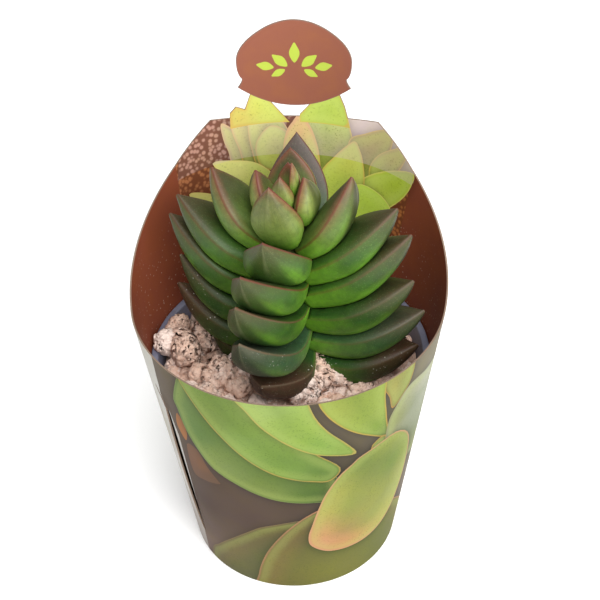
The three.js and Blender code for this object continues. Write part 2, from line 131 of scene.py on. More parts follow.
Value = Wire | float


def add_node(
    tree: bpy.types.NodeTree,
    kind: str,
    settings: dict[str, object] | None = None,
    values: dict[str | int, object] | None = None,
) -> bpy.types.Node:
    """Makes a node, sets its settings, then feeds its sockets.

    Args:
        tree: The nodes it joins.
        kind: The node's type.
        settings: What the node itself is set to.
        values: A number, colour, vector, wire or output for each socket, by name or place.

    Returns:
        The node.
    """
    made = tree.nodes.new(kind)
    for key, setting in (settings or {}).items():
        setattr(made, key, setting)
    for key, value in (values or {}).items():
        socket = made.inputs[key]
        given = value.socket if isinstance(value, Wire) else value
        if isinstance(given, bpy.types.NodeSocket):
            tree.links.new(given, socket)
        elif isinstance(given, tuple) and socket.type == "RGBA":
            socket.default_value = (*given, 1.0)
        else:
            socket.default_value = given
    return made


class Recipe:
    """A material's nodes, which are all made by one method."""

    def __init__(self, name: str) -> None:
        """Starts a material with no nodes in it.

        Args:
            name: The material's name.
        """
        self.material = bpy.data.materials.new(name)
        self.material.use_nodes = True
        self.tree = self.material.node_tree
        self.tree.nodes.clear()

    def node(self, kind: str, settings: dict | None = None, values: dict | None = None) -> bpy.types.Node:
        """A node of this material, as add_node makes it."""
        return add_node(self.tree, kind, settings, values)

    def wire(self, made: bpy.types.Node, output: str | int = 0) -> Wire:
        """One of a node's outputs as a wire."""
        return Wire(self, made.outputs[output])

    def math(self, operation: str, *values: Value) -> Wire:
        """A Math node on one, two or three values."""
        return self.wire(self.node("ShaderNodeMath", {"operation": operation}, dict(enumerate(values))))

    def least(self, first: Value, second: Value) -> Wire:
        """The smaller of two values."""
        return self.math("MINIMUM", first, second)

    def most(self, first: Value, second: Value) -> Wire:
        """The larger of two values."""
        return self.math("MAXIMUM", first, second)

    def smooth(self, value: Value, low: float, high: float) -> Wire:
        """0 at low and 1 at high, with a soft start and end.

        Args:
            value: The value.
            low: Where it starts.
            high: Where it ends.

        Returns:
            The softened value.
        """
        span = {1: low, 2: high} if low < high else {1: high, 2: low, 3: 1.0, 4: 0.0}
        settings = {"interpolation_type": "SMOOTHSTEP"}
        return self.wire(self.node("ShaderNodeMapRange", settings, {0: value, **span}))

    def mix(self, share: Value, first: object, second: object, blend: str = "MIX") -> Wire:
        """A colour between two others, by a share of the second."""
        settings = {"data_type": "RGBA", "blend_type": blend, "clamp_factor": True}
        return self.wire(self.node("ShaderNodeMix", settings, {0: share, 6: first, 7: second}), 2)

    def attribute(self, name: str, output: str = "Fac") -> Wire:
        """A number or colour that the mesh carries on its points or corners."""
        return self.wire(self.node("ShaderNodeAttribute", {"attribute_name": name}), output)

    def place(self) -> Wire:
        """The place on the object, in millimetres.

        Returns:
            The place as a wire.
        """
        spot = self.wire(self.node("ShaderNodeTexCoord"), "Object")
        scaled = {0: spot, 3: 1 / MM}
        return self.wire(self.node("ShaderNodeVectorMath", {"operation": "SCALE"}, scaled))

    def shifted(self, where: Wire, shift: Place, stretch: Place = (1.0, 1.0, 1.0)) -> Wire:
        """A place moved and stretched, so that two patterns don't line up."""
        values = {0: where, 1: stretch, 2: shift}
        return self.wire(self.node("ShaderNodeVectorMath", {"operation": "MULTIPLY_ADD"}, values))

    def cloud(self, where: Wire, size: float, detail: float = 2.0, rough: float = 0.5) -> Wire:
        """Soft noise from 0 to 1, with features of a size in millimetres."""
        values = {"Vector": where, "Scale": 1 / size, "Detail": detail, "Roughness": rough}
        return self.wire(self.node("ShaderNodeTexNoise", None, values), "Fac")

    def cells(self, where: Wire, size: float) -> Wire:
        """Distance from the middle of cells that are a size in millimetres across."""
        values = {"Vector": where, "Scale": 1 / size}
        return self.wire(self.node("ShaderNodeTexVoronoi", None, values), "Distance")

    def split(self, vector: Wire) -> list[Wire]:
        """A vector's three parts."""
        parts = self.node("ShaderNodeSeparateXYZ", None, {0: vector})
        return [self.wire(parts, i) for i in range(3)]

    def join(self, x: Value, y: Value, z: Value) -> Wire:
        """A vector from its three parts."""
        return self.wire(self.node("ShaderNodeCombineXYZ", None, {0: x, 1: y, 2: z}))

    def finish(
        self,
        colour: object,
        roughness: Value,
        relief: Wire | None = None,
        depth: float = 0.1,
        plain: dict[str, object] | None = None,
    ) -> bpy.types.Material:
        """Closes the recipe with its shader and the relief that shades its surface.

        Args:
            colour: The surface's colour.
            roughness: How rough it is.
            relief: Height of its fine relief, from 0 to 1.
            depth: The relief's depth in millimetres.
            plain: Values that are the same all over, by the shader's socket.

        Returns:
            The material.
        """
        values = {"Base Color": colour, "Roughness": roughness, **(plain or {})}
        if relief is not None:
            bump = self.node("ShaderNodeBump", None, {"Distance": depth * MM, "Height": relief})
            values["Normal"] = self.wire(bump)
        shader = self.node("ShaderNodeBsdfPrincipled", None, values)
        self.node("ShaderNodeOutputMaterial", None, {"Surface": self.wire(shader)})
        return self.material


# ---- meshes


def closed_volume(points: np.ndarray, faces: Sequence[Sequence[int]]) -> float:
    """Volume inside a closed mesh, negative where its faces point in.

    Args:
        points: The mesh's points.
        faces: Its faces.

    Returns:
        The volume.
    """
    fans = [(face[0], face[i], face[i + 1]) for face in faces for i in range(1, len(face) - 1)]
    a, b, c = (points[np.array(corner)] for corner in zip(*fans))
    return float((a * np.cross(b, c)).sum()) / 6


def mesh_object(
    name: str,
    points: np.ndarray,
    faces: Sequence[Sequence[int]],
    materials: Iterable[bpy.types.Material],
    numbers: dict[str, np.ndarray] | None = None,
) -> bpy.types.Object:
    """Makes an object of a mesh in millimetres, smooth shaded.

    Args:
        name: The object's name.
        points: Its points, in millimetres.
        faces: Its faces, each a list of point numbers.
        materials: Its materials, in the order of its slots.
        numbers: Values that its points carry, by name.

    Returns:
        The object, linked to the scene.
    """
    mesh = bpy.data.meshes.new(name)
    mesh.from_pydata((points * MM).tolist(), [], [list(map(int, face)) for face in faces])
    for key, values in (numbers or {}).items():
        layer = mesh.attributes.new(key, "FLOAT", "POINT")
        layer.data.foreach_set("value", np.asarray(values, np.float32))
    mesh.shade_smooth()
    for material in materials:
        mesh.materials.append(material)
    made = bpy.data.objects.new(name, mesh)
    bpy.context.scene.collection.objects.link(made)
    return made


def ring_faces(rings: int, count: int, closed: bool = False) -> list[tuple[int, ...]]:
    """Quads over rows of rings of points.

    Args:
        rings: How many rings there are.
        count: How many points each has.
        closed: Whether the last ring joins the first.

    Returns:
        The faces.
    """
    faces = []
    for i in range(rings if closed else rings - 1):
        a, b = i * count, ((i + 1) % rings) * count
        for j in range(count):
            k = (j + 1) % count
            faces.append((a + j, b + j, b + k, a + k))
    return faces


def outwards(points: np.ndarray, faces: list[tuple[int, ...]]) -> list[tuple[int, ...]]:
    """The faces of a closed mesh, turned so that they point out.

    Args:
        points: The mesh's points.
        faces: Its faces.

    Returns:
        The faces, all turned if they pointed in.
    """
    if closed_volume(points, faces) > 0:
        return faces
    return [tuple(reversed(face)) for face in faces]


def lathe(profile: Sequence[tuple[float, float]], sides: int) -> tuple[np.ndarray, list[tuple[int, ...]]]:
    """A turned solid.

    Args:
        profile: Radius and height pairs. A radius of 0 at either end closes it there.
        sides: How many sides it has.

    Returns:
        Its points and its faces.
    """
    turns = np.arange(sides) * 2 * math.pi / sides
    round_part = [(r, z) for r, z in profile if r > 0]
    points = [(r * math.cos(t), r * math.sin(t), z) for r, z in round_part for t in turns]
    faces = ring_faces(len(round_part), sides)
    for end, first in ((0, 0), (-1, (len(round_part) - 1) * sides)):
        if profile[end][0] == 0:
            points.append((0.0, 0.0, profile[end][1]))
            tip = len(points) - 1
            fan = [(first + (j + 1) % sides, first + j, tip) for j in range(sides)]
            faces += fan if end == 0 else [tuple(reversed(face)) for face in fan]
    cloud = np.array(points)
    return cloud, outwards(cloud, faces)


def outward(degrees: float) -> np.ndarray:
    """A direction round the pot, from the front."""
    angle = math.radians(degrees)
    return np.array([math.sin(angle), -math.cos(angle), 0.0])


# ---- finishes


@dataclass(frozen=True)
class LeafSkin:
    """Waxy succulent skin: green, browner towards the tip, with thin red-brown or pale margins."""

    young: Colour = paint(122, 134, 66)
    grown: Colour = paint(46, 78, 20)
    old: Colour = paint(30, 62, 18)
    foot: Colour = paint(106, 156, 38)
    blush: Colour = paint(62, 42, 28)
    shade: Colour = paint(38, 38, 18)
    flush: Colour = paint(116, 62, 46)
    # deep is painted shade, laid on the middle of the side leaves' undersides and in the creases where leaves
    # press together.
    deep: Colour = paint(14, 26, 10)
    margin: Colour = paint(88, 32, 24)
    rind: Colour = paint(84, 68, 48)
    bloom: Colour = paint(116, 134, 140)
    dust: Colour = paint(206, 202, 190)
    # A painted highlight: the pale line along the keel of the underside, towards the tip.
    crest: Colour = paint(170, 170, 128)
    speck: Colour = paint(160, 176, 120)
    mottle: Colour = paint(26, 44, 18)

    def material(self) -> bpy.types.Material:
        """The skin as a material, which reads what each leaf's points carry.

        Returns:
            The material.
        """
        r = Recipe("waxy_leaf_skin")
        where = r.place()
        along, edge, upper, across = (r.attribute(name) for name in ("along", "edge", "upper", "across"))
        age, blush, bloom, dust = (r.attribute(name) for name in ("age", "blush", "bloom", "dust"))
        flank, crease_shade = r.attribute("flank"), r.attribute("crease_shade")
        patches = r.cloud(where, 6.0, 3.0)
        grain = r.cloud(where, 0.8, 3.0, 0.6)
        fibres = r.cloud(r.join(along * 3, across * 14, age * 5), 1.0, 3.0, 0.6)
        side = r.math("ABSOLUTE", across)
        body = r.mix(r.smooth(age, -0.5, 3.5), self.young, self.grown)
        body = r.mix(r.smooth(age, 4.0, 9.5), body, self.old)
        near_foot = (1 - r.smooth(along + patches * 0.2, 0.15, 0.68)) * (1 - upper)
        body = r.mix(near_foot * 0.85, body, self.foot)
        band = 1 - r.smooth(r.math("ABSOLUTE", side - 0.72 + (patches - 0.5) * 0.25), 0.02, 0.3)
        streak = band * (1 - upper) * (1 - r.smooth(along, 0.55, 0.9)) * r.smooth(age, 1.0, 3.0)
        body = r.mix(streak * 0.5, body, self.foot)
        body = r.mix(r.smooth(fibres, 0.45, 0.7) * 0.25, body, self.old)
        reach = along + (patches - 0.5) * 0.35 + r.smooth(blush, 0.85, 1.0) * 0.4
        tipped = r.smooth(reach, 0.52, 1.0)
        body = r.mix(upper * r.smooth(along, 0.3, 0.85) * 0.72, body, self.shade)
        # Painted shade: the middle of each side leaf's underside is darkened with the deep colour.
        body = r.mix(flank * (1 - upper) * (1 - r.smooth(side, 0.25, 0.7)) * 0.6, body, self.deep)
        # Painted shade in the creases, where younger leaves pressed this leaf's upper face in.
        body = r.mix(crease_shade * 0.75, body, self.deep)
        body = r.mix(blush * tipped, body, self.blush)
        young = 1 - r.smooth(age, 0.5, 3.5)
        flushed = (1 - r.smooth(edge + (patches - 0.5) * 2, 0.2, 2.6)) * r.smooth(along, 0.2, 0.7)
        body = r.mix(flushed * (0.06 + 0.6 * young), body, self.flush)
        body = r.mix(bloom * (0.55 + 0.45 * grain), body, self.bloom)
        # Painted highlight along the keel of the underside, strongest towards the tip.
        crest = (1 - r.smooth(side, 0.02, 0.12)) * (1 - upper) * r.smooth(along, 0.4, 0.95)
        body = r.mix(crest * 0.1, body, self.crest)
        specks = 1 - r.smooth(r.cells(where, 0.55), 0.1, 0.3)
        body = r.mix(specks * 0.12, body, self.speck)
        mottle = r.smooth(r.cloud(r.shifted(where, (31.0, 7.0, 3.0)), 1.6, 4.0, 0.7), 0.42, 0.68)
        body = r.mix(mottle * 0.25, body, self.mottle)
        line = 1 - r.smooth(edge + (grain - 0.5) * 0.3, 0.05, 0.34)
        rim = r.mix(r.smooth(age, 5.0, 8.5), self.margin, self.rind)
        body = r.mix(line * r.least(0.3 + 0.5 * young + 0.4 * (1 - flank), 0.85), body, rim)
        chance = r.cells(r.shifted(where, (5.0, 11.0, 17.0)), 1.3)
        grains = (1 - r.smooth(chance, 0.08, 0.2)) * r.smooth(r.cloud(where, 5.0), 0.45, 0.6)
        body = r.mix(grains * dust, body, self.dust)
        roughness = 0.4 + 0.16 * grain + 0.2 * dust * patches
        relief = 0.5 * grain + 0.2 * specks + 0.3 * fibres
        plain = {"Specular IOR Level": 0.34, "Subsurface Weight": 0.06, "Subsurface Scale": 0.002}
        return r.finish(body, roughness, relief, 0.08, plain)


@dataclass(frozen=True)
class StemSkin:
    """The fleshy green-brown skin of the stem."""

    flesh: Colour = paint(108, 122, 66)
    scar: Colour = paint(96, 76, 52)

    def material(self) -> bpy.types.Material:
        """The skin as a material.

        Returns:
            The material.
        """
        r = Recipe("fleshy_stem_skin")
        where = r.place()
        streaks = r.cloud(r.shifted(where, (0.0, 0.0, 0.0), (1.0, 1.0, 0.25)), 1.2, 4.0, 0.65)
        colour = r.mix(r.smooth(streaks, 0.4, 0.65), self.flesh, self.scar)
        return r.finish(colour, 0.55 + 0.2 * streaks, streaks, 0.15)


@dataclass(frozen=True)
class PorousStone:
    """Pale porous stone: dark pits, reddish stains and chalky faces."""

    name: str = "porous_stone"
    body: Colour = paint(220, 184, 162)
    pale: Colour = paint(234, 214, 202)
    stain: Colour = paint(170, 122, 98)
    # The pit colour is painted shade, laid in the stones' pits and hollows and over the gravel floor between
    # the chips.
    pit: Colour = paint(122, 88, 72)

    def material(self) -> bpy.types.Material:
        """The stone as a material. Each stone's points carry how pale and how stained it is.

        Returns:
            The material.
        """
        r = Recipe(self.name)
        where = r.place()
        pale, stain, hollow = (r.attribute(key) for key in ("pale", "stain", "hollow"))
        broad = r.cloud(where, 5.0, 4.0, 0.6)
        fine = r.cloud(where, 0.9, 5.0, 0.7)
        colour = r.mix(r.smooth(broad + (pale - 0.5) * 0.9, 0.3, 0.75), self.body, self.pale)
        stained = r.smooth(r.cloud(r.shifted(where, (9.0, 4.0, 2.0)), 3.2, 4.0, 0.65), 0.45, 0.7)
        colour = r.mix(stained * stain, colour, self.stain)
        colour = r.mix(r.smooth(fine, 0.36, 0.62) * 0.3, colour, self.pale)
        # Painted shade: the pits, and the hollows carved into each stone, are darkened with the pit colour.
        pits = 1 - r.smooth(r.cells(where, 1.15) + (broad - 0.5) * 0.5, 0.1, 0.24)
        small = 1 - r.smooth(r.cells(r.shifted(where, (3.0, 8.0, 5.0)), 0.6) + fine * 0.3, 0.2, 0.33)
        dark = r.most(pits * 0.35, small * 0.3)
        colour = r.mix(dark, colour, self.pit)
        colour = r.mix(hollow * 0.34, colour, self.pit)
        relief = 0.55 * fine + 0.45 * (1 - dark)
        return r.finish(colour, 0.86 + 0.1 * fine, relief, 0.7)


@dataclass(frozen=True)
class PotPlastic:
    """Thin grey-lilac nursery pot plastic, satin, darker and browner below a cloudy line a few millimetres
    under its top.
    """

    body: Colour = paint(104, 106, 124)
    worn: Colour = paint(136, 138, 154)
    lower_colour: Colour = paint(98, 84, 78)

    def material(self) -> bpy.types.Material:
        """The plastic as a material.

        Returns:
            The material.
        """
        r = Recipe("nursery_pot_plastic")
        where = r.place()
        _, _, height = r.split(where)
        cloud = r.cloud(where, 9.0, 4.0, 0.6)
        rings = r.math("SINE", height * 4.5)
        colour = r.mix(r.smooth(cloud, 0.4, 0.7) * 0.35, self.body, self.worn)
        # Darker and browner below a cloudy line a few millimetres under the top edge.
        low = 1 - r.smooth(height + cloud * 6, 66.0, 72.0)
        colour = r.mix(low * 0.35, colour, self.lower_colour)
        relief = 0.7 * r.cloud(where, 1.4, 3.0) + 0.15 * rings
        return r.finish(colour, 0.38 + 0.15 * cloud, relief, 0.06)


@dataclass(frozen=True)
class Compost:
    """Dark moist compost."""

    body: Colour = paint(58, 42, 32)
    crumb: Colour = paint(96, 74, 56)

    def material(self) -> bpy.types.Material:
        """The compost as a material.

        Returns:
            The material.
        """
        r = Recipe("dark_compost")
        where = r.place()
        crumbs = r.cells(where, 1.6)
        fine = r.cloud(where, 0.7, 5.0, 0.7)
        colour = r.mix(r.smooth(fine + crumbs * 0.4, 0.5, 0.9), self.body, self.crumb)
        return r.finish(colour, 0.92 + 0.05 * fine, crumbs * 0.6 + fine * 0.4, 0.8)


# ---- the plant


class Rank(Enum):
    """The four ranks of leaves round the stem, each with its direction."""

    RIGHT = 71.0
    LEFT = -101.0
    FRONT = -23.0
    BACK = 172.0


@dataclass(frozen=True)
class Leaf:
    """One leaf: where it grows, how old it is and how it departs from the rule.

    Ages count leaf pairs from the bud, each turned a quarter round from the last.
    """

    node: str
    azimuth: float
    age: float
    lift: float = 0.0
    curl: float = 0.0
    stretch: float = 0.0
    blush: float = 0.55
    bloom: float = 0.0
    dust: float = 0.0
    flank: float = 0.0


@dataclass(frozen=True)
class Growth:
    """How a leaf changes with its age.

    Lengths are shares of the plant's spread, widths and thicknesses shares of a full-grown leaf, and rises
    are in degrees.
    """

    age: tuple[float, ...] = (-2, -1, 0, 1, 2, 3, 5, 9, 12)
    length: tuple[float, ...] = (0.27, 0.31, 0.39, 0.565, 0.76, 0.84, 1, 1, 0.9)
    width: tuple[float, ...] = (0.22, 0.36, 0.58, 0.78, 0.95, 1, 1, 1, 1)
    thickness: tuple[float, ...] = (0.24, 0.37, 0.55, 0.67, 0.79, 0.91, 1, 1, 1)
    base_rise: tuple[float, ...] = (80, 76, 68, 55, 42, 37, 28, 6, 0)
    tip_rise: tuple[float, ...] = (88, 86, 84, 75, 65, 59, 46, 46, 28)
    foot: tuple[float, ...] = (0.35, 0.6, 1, 1, 1, 1, 1, 1, 1)

    def at(self, key: str, age: float) -> float:
        """A leaf's own value at its age."""
        return float(np.interp(age, self.age, getattr(self, key)))


@dataclass
class Plant:
    """The upright plant: a stem, four ranks of boat-shaped leaves pressed together, and the bud."""

    spread: float = 39.0
    foot_height: float = 63.0
    offset: tuple[float, float] = (4.1, 0.8)
    lean: float = 3.5
    tilt: float = -3.2
    lowest_leaf: float = 10.2
    pitch: float = 3.9
    crown_stretch: float = 1.2
    crown_ages: float = 1.5
    stem_radius: float = 2.8
    stem_top_radius: float = 0.8
    stem_taper: float = 16.0
    stem_depth: float = 14.0
    leaf_width: float = 19.0
    leaf_thickness: float = 9.4
    leaf_edge: float = 0.55
    leaf_swell: float = 2.7
    front_swell: float = 0.5
    side_fullness: float = 0.8
    belly_fullness: float = 0.62
    base_width_share: float = 0.62
    widest_at: float = 0.45
    tip_bluntness: float = 1.08
    tip_narrowing: float = 0.12
    foot_body: float = 0.75
    tip_thinning: float = 3.2
    keel: float = 0.35
    stations: int = 46
    upper_points: int = 19
    lower_points: int = 25
    growth: Growth = field(default_factory=Growth)

    def leaves(self) -> list[Leaf]:
        """Every leaf, youngest first, with its own turn, lift, curl and stretch.

        Returns:
            The leaves of the four ranks and of the bud.
        """
        ranks = {
            Rank.RIGHT: (0, (
                (-1, 2, 6, -1), (0, 0, 4, 0.5), (3, 1, -11, 1), (3, 4, -6, 0.5),
                (-2, 3, -11, -1.5), (1, 1, -10, 0.5), (-1, -1, -4, 0),
            )),
            Rank.LEFT: (0, (
                (0, -2, -8, 1), (-1, 0, -1, 1), (1, -2, -7, 1.5), (-1, 1, 1, 1.5),
                (1, 0, 0, -3), (0, 0, 1, -1), (2, 0, 0, -9),
            )),
            Rank.FRONT: (1, (
                (4, 0, 3, 3), (8, -4, -6, -1), (0, -2, 1, 0), (-3, -4, 7, 1),
                (-2, -6, 8, 1), (0, -13, -8, -9),
            )),
            Rank.BACK: (1, (
                (0, 0, 0, 0), (0, 0, 1, 1), (2, -2, -4, 0), (-2, 1, 3, -0.5),
                (1, 0, 0, 0), (0, 0, -3, -1),
            )),
        }
        looks = {
            "leaf_back_2": {"bloom": 0.12, "blush": 0.95},
            "leaf_back_1": {"blush": 0.6},
            "leaf_front_1": {"blush": 0.7},
            "leaf_front_5": {"bloom": 0.1, "dust": 0.3},
            "leaf_front_6": {"blush": 0.98, "dust": 0.95},
            "leaf_left_6": {"blush": 0.9, "dust": 0.6},
            "leaf_left_5": {"dust": 0.35},
            "leaf_right_7": {"blush": 0.9, "dust": 0.3},
            "leaf_right_6": {"bloom": 0.05},
        }
        made = [
            Leaf("bud_leaf_front", -20, -1, blush=0.8),
            Leaf("bud_leaf_back", 165, -1, blush=0.8),
            Leaf("bud_leaf_heart", 75, -2, blush=0.8),
        ]
        for rank, (first, own) in ranks.items():
            for i, (turn, lift, curl, stretch) in enumerate(own):
                node = f"leaf_{rank.name.lower()}_{i + 1}"
                look = looks.get(node, {})
                flank = float(rank in (Rank.LEFT, Rank.RIGHT))
                made.append(
                    Leaf(node, rank.value + turn, first + 2 * i, lift, curl, stretch, flank=flank, **look)
                )
        return sorted(made, key=lambda leaf: leaf.age)

    def stack_height(self, age: float) -> float:
        """Height of a leaf pair above the plant's foot."""
        spread = self.crown_stretch * math.exp(-max(age, 0) / self.crown_ages)
        return self.lowest_leaf + self.pitch * (self.growth.age[-1] - age) + spread

    def outline(self, u: np.ndarray) -> np.ndarray:
        """Half the leaf's width along its length, as a share of the widest.

        Args:
            u: Shares of its length.

        Returns:
            A share for each.
        """
        rising = self.base_width_share + (1 - self.base_width_share) * np.sin(np.pi / 2 * u / self.widest_at)
        v = np.clip((u - self.widest_at) / (1 - self.widest_at), 0, 1)
        falling = (1 - v * v) ** self.tip_bluntness * (1 - self.tip_narrowing * v)
        return np.where(u < self.widest_at, rising, falling)

    def body(self, u: np.ndarray) -> np.ndarray:
        """The leaf's thickness along its length, as a share of the thickest."""
        swell = self.foot_body + (1 - self.foot_body) * np.sin(np.pi * np.minimum(u, 0.5))
        return swell * (1 - u**self.tip_thinning)

    def turns(self) -> np.ndarray:
        """Places round a leaf's section, closest together at its two margins.

        Returns:
            Angles in radians, from one margin over the upper face.
        """
        upper = np.pi * (1 - np.cos(np.pi * np.arange(self.upper_points) / self.upper_points)) / 2
        lower = np.arange(self.lower_points) / self.lower_points
        eased = 0.35 * lower + 0.65 * (1 - np.cos(np.pi * lower)) / 2
        return np.concatenate([upper, np.pi + np.pi * eased])

    def leaf_points(self, leaf: Leaf) -> tuple[np.ndarray, np.ndarray, dict[str, np.ndarray]]:
        """A leaf's skin before it is pressed against its neighbours.

        Args:
            leaf: The leaf.

        Returns:
            Its points as an array of stations by turns, the direction at each station in which its underside
            lies, and what each point carries.
        """
        size = partial(self.growth.at, age=leaf.age)
        length = self.spread * size("length") + leaf.stretch
        half_width = self.leaf_width / 2 * size("width")
        thickness = self.leaf_thickness * size("thickness")
        rise = math.radians(size("base_rise") + leaf.lift)
        curve = math.radians(size("tip_rise") + leaf.curl) - rise
        out = outward(leaf.azimuth)
        up = np.array([0.0, 0.0, 1.0])
        across = np.cross(up, out)
        start = out * (self.stem_radius + GAP) * size("foot") + up * self.stack_height(leaf.age)
        u = 1 - (1 - np.linspace(0, 1, self.stations)) ** 1.25
        u[-1] = 0.997
        end = rise + curve * u
        reach = length * (np.sin(end) - math.sin(rise)) / curve
        climb = length * (math.cos(rise) - np.cos(end)) / curve
        centre = start + reach[:, None] * out + climb[:, None] * up
        tangent = np.cos(end)[:, None] * out + np.sin(end)[:, None] * up
        normal = np.cross(tangent, across)
        turn = self.turns()
        sine, cosine = np.sin(turn)[None, :], np.cos(turn)[None, :]
        wide = (half_width * self.outline(u))[:, None]
        deep = (thickness * self.body(u))[:, None]
        edge = self.leaf_edge * size("thickness")
        crown = self.leaf_swell if leaf.flank else self.front_swell
        swell = (crown * size("width") * self.outline(u))[:, None]
        above = edge * np.abs(sine) ** 0.6 + swell * np.abs(sine) ** 1.2
        ridge = self.keel * u[:, None] * np.exp(-((cosine / 0.16) ** 2))
        below = -(deep + ridge) * np.abs(sine) ** self.belly_fullness
        height = np.where(sine > 0, above, below)
        side = wide * np.sign(cosine) * np.abs(cosine) ** self.side_fullness + 0 * height
        points = centre[:, None, :] + side[..., None] * across + height[..., None] * normal[:, None, :]
        numbers = {
            "along": np.broadcast_to(u[:, None], height.shape),
            "edge": np.hypot(wide - np.abs(side), np.where(sine > 0, 0, height)),
            "upper": np.broadcast_to(np.clip(sine * 2.5, 0, 1), height.shape),
            "across": np.broadcast_to(cosine, height.shape),
            "room": np.where(sine > 0.01, above - below - GAP, 0.0),
        }
        return points, -normal, numbers

    def pressed(
        self, points: np.ndarray, down: np.ndarray, room: np.ndarray, others: list[BVHTree]
    ) -> np.ndarray:
        """Lowers the upper face of a leaf where younger leaves press into it.

        Args:
            points: The leaf's points, stations by turns.
            down: The direction of its underside at each station.
            room: How far each point can go before it reaches the underside.
            others: The younger leaves.

        Returns:
            The points, moved clear of the younger leaves as far as there is room.
        """
        made = points.copy()
        for i, j in zip(*np.nonzero(room > 0)):
            way, spot, left = Vector(down[i]), Vector(made[i, j]), float(room[i, j])
            for tree in others:
                near, facing, _, _ = tree.find_nearest(spot, 12.0)
                if near is None or (spot - near).dot(facing) > GAP / 2:
                    continue
                hit, _, _, reach = tree.ray_cast(spot, way)
                if hit is None or (spot - near).dot(facing) > 0:
                    reach = 0.0
                step = min(reach + GAP / 2, left)
                spot, left = spot + way * step, left - step
            made[i, j] = spot
        return made

    def leaf_faces(self, stations: int, count: int) -> list[tuple[int, ...]]:
        """Faces over a leaf's stations, closed by a point at its foot and one at its tip.

        Args:
            stations: How many stations.
            count: Points round each.

        Returns:
            The faces.
        """
        faces = ring_faces(stations, count)
        foot, tip, last = stations * count, stations * count + 1, (stations - 1) * count
        for j in range(count):
            k = (j + 1) % count
            faces += [(foot, j, k), (tip, last + k, last + j)]
        return faces

    def stands(self) -> Matrix:
        """Where the plant stands in the pot, and how it leans.

        Returns:
            The matrix, in millimetres.
        """
        turn = Euler((math.radians(-self.lean), 0, 0)).to_matrix()
        roll = Euler((0, math.radians(self.tilt), 0)).to_matrix()
        return Matrix.Translation((*self.offset, self.foot_height)) @ (roll @ turn).to_4x4()

    def place(self, points: np.ndarray) -> np.ndarray:
        """Points of the plant's own frame, moved to where it stands."""
        matrix = np.array(self.stands())
        return points @ matrix[:3, :3].T + matrix[:3, 3]

    def build_leaves(self, skin: bpy.types.Material) -> None:
        """Makes every leaf, youngest first, each pressed against those already made.

        Args:
            skin: The leaves' material.
        """
        trees: list[tuple[BVHTree, np.ndarray, np.ndarray]] = []
        for leaf in self.leaves():
            points, down, numbers = self.leaf_points(leaf)
            low, high = points.min((0, 1)), points.max((0, 1))
            near = [tree for tree, a, b in trees if (a < high).all() and (b > low).all()]
            shaped = self.pressed(points, down, numbers.pop("room"), near)
            stations, count, _ = shaped.shape
            foot = shaped[0].mean(0)
            tip = shaped[-1].mean(0) + (shaped[-1].mean(0) - shaped[-2].mean(0)) * 0.4
            cloud = np.vstack([shaped.reshape(-1, 3), foot, tip])
            faces = outwards(cloud, self.leaf_faces(stations, count))
            carried = {
                key: np.append(values.reshape(-1), ends)
                for (key, values), ends in zip(numbers.items(), ((0, 1), (3, 0), (0, 0), (0, 0)))
            }
            # How far each point was pushed in, which the skin paints as shade in the crease; the foot point
            # is fully shaded.
            moved = np.linalg.norm(shaped - points, axis=2).reshape(-1)
            carried["crease_shade"] = np.append(np.clip(moved / 0.8, 0, 1), (1, 0))
            for key in ("age", "blush", "bloom", "dust", "flank"):
                carried[key] = np.full(len(cloud), getattr(leaf, key))
            name = leaf.node.replace("leaf", "leaf_skin", 1)
            piece = mesh_object(name, self.place(cloud), faces, [skin], carried)
            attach(piece, "root")
            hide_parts(leaf.node)
            trees.append((BVHTree.FromPolygons(cloud.tolist(), faces), low, high))
            log.info("%s: %d faces", name, len(faces))

    def build_stem(self, skin: bpy.types.Material) -> None:
        """Makes the stem, from inside the compost to the bud.

        Args:
            skin: The stem's material.
        """
        top = self.stack_height(-2)
        heights = np.linspace(-self.stem_depth, top, 40)
        taper = np.clip((heights - (top - self.stem_taper)) / self.stem_taper, 0, 1)
        radii = self.stem_radius + (self.stem_top_radius - self.stem_radius) * taper
        knots = 0.12 * np.sin(heights * 2 * np.pi / self.pitch)
        profile = [(0.0, heights[0]), *zip(radii + knots, heights), (0.0, heights[-1])]
        points, faces = lathe(profile, 24)
        piece = mesh_object("fleshy_stem", self.place(points), faces, [skin])
        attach(piece, "root")
        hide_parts("stem")
        log.info("fleshy_stem: %d faces", len(faces))

    def build(self) -> None:
        """Makes the whole plant."""
        self.build_stem(StemSkin().material())
        self.build_leaves(LeafSkin().material())


# ---- stones and gravel


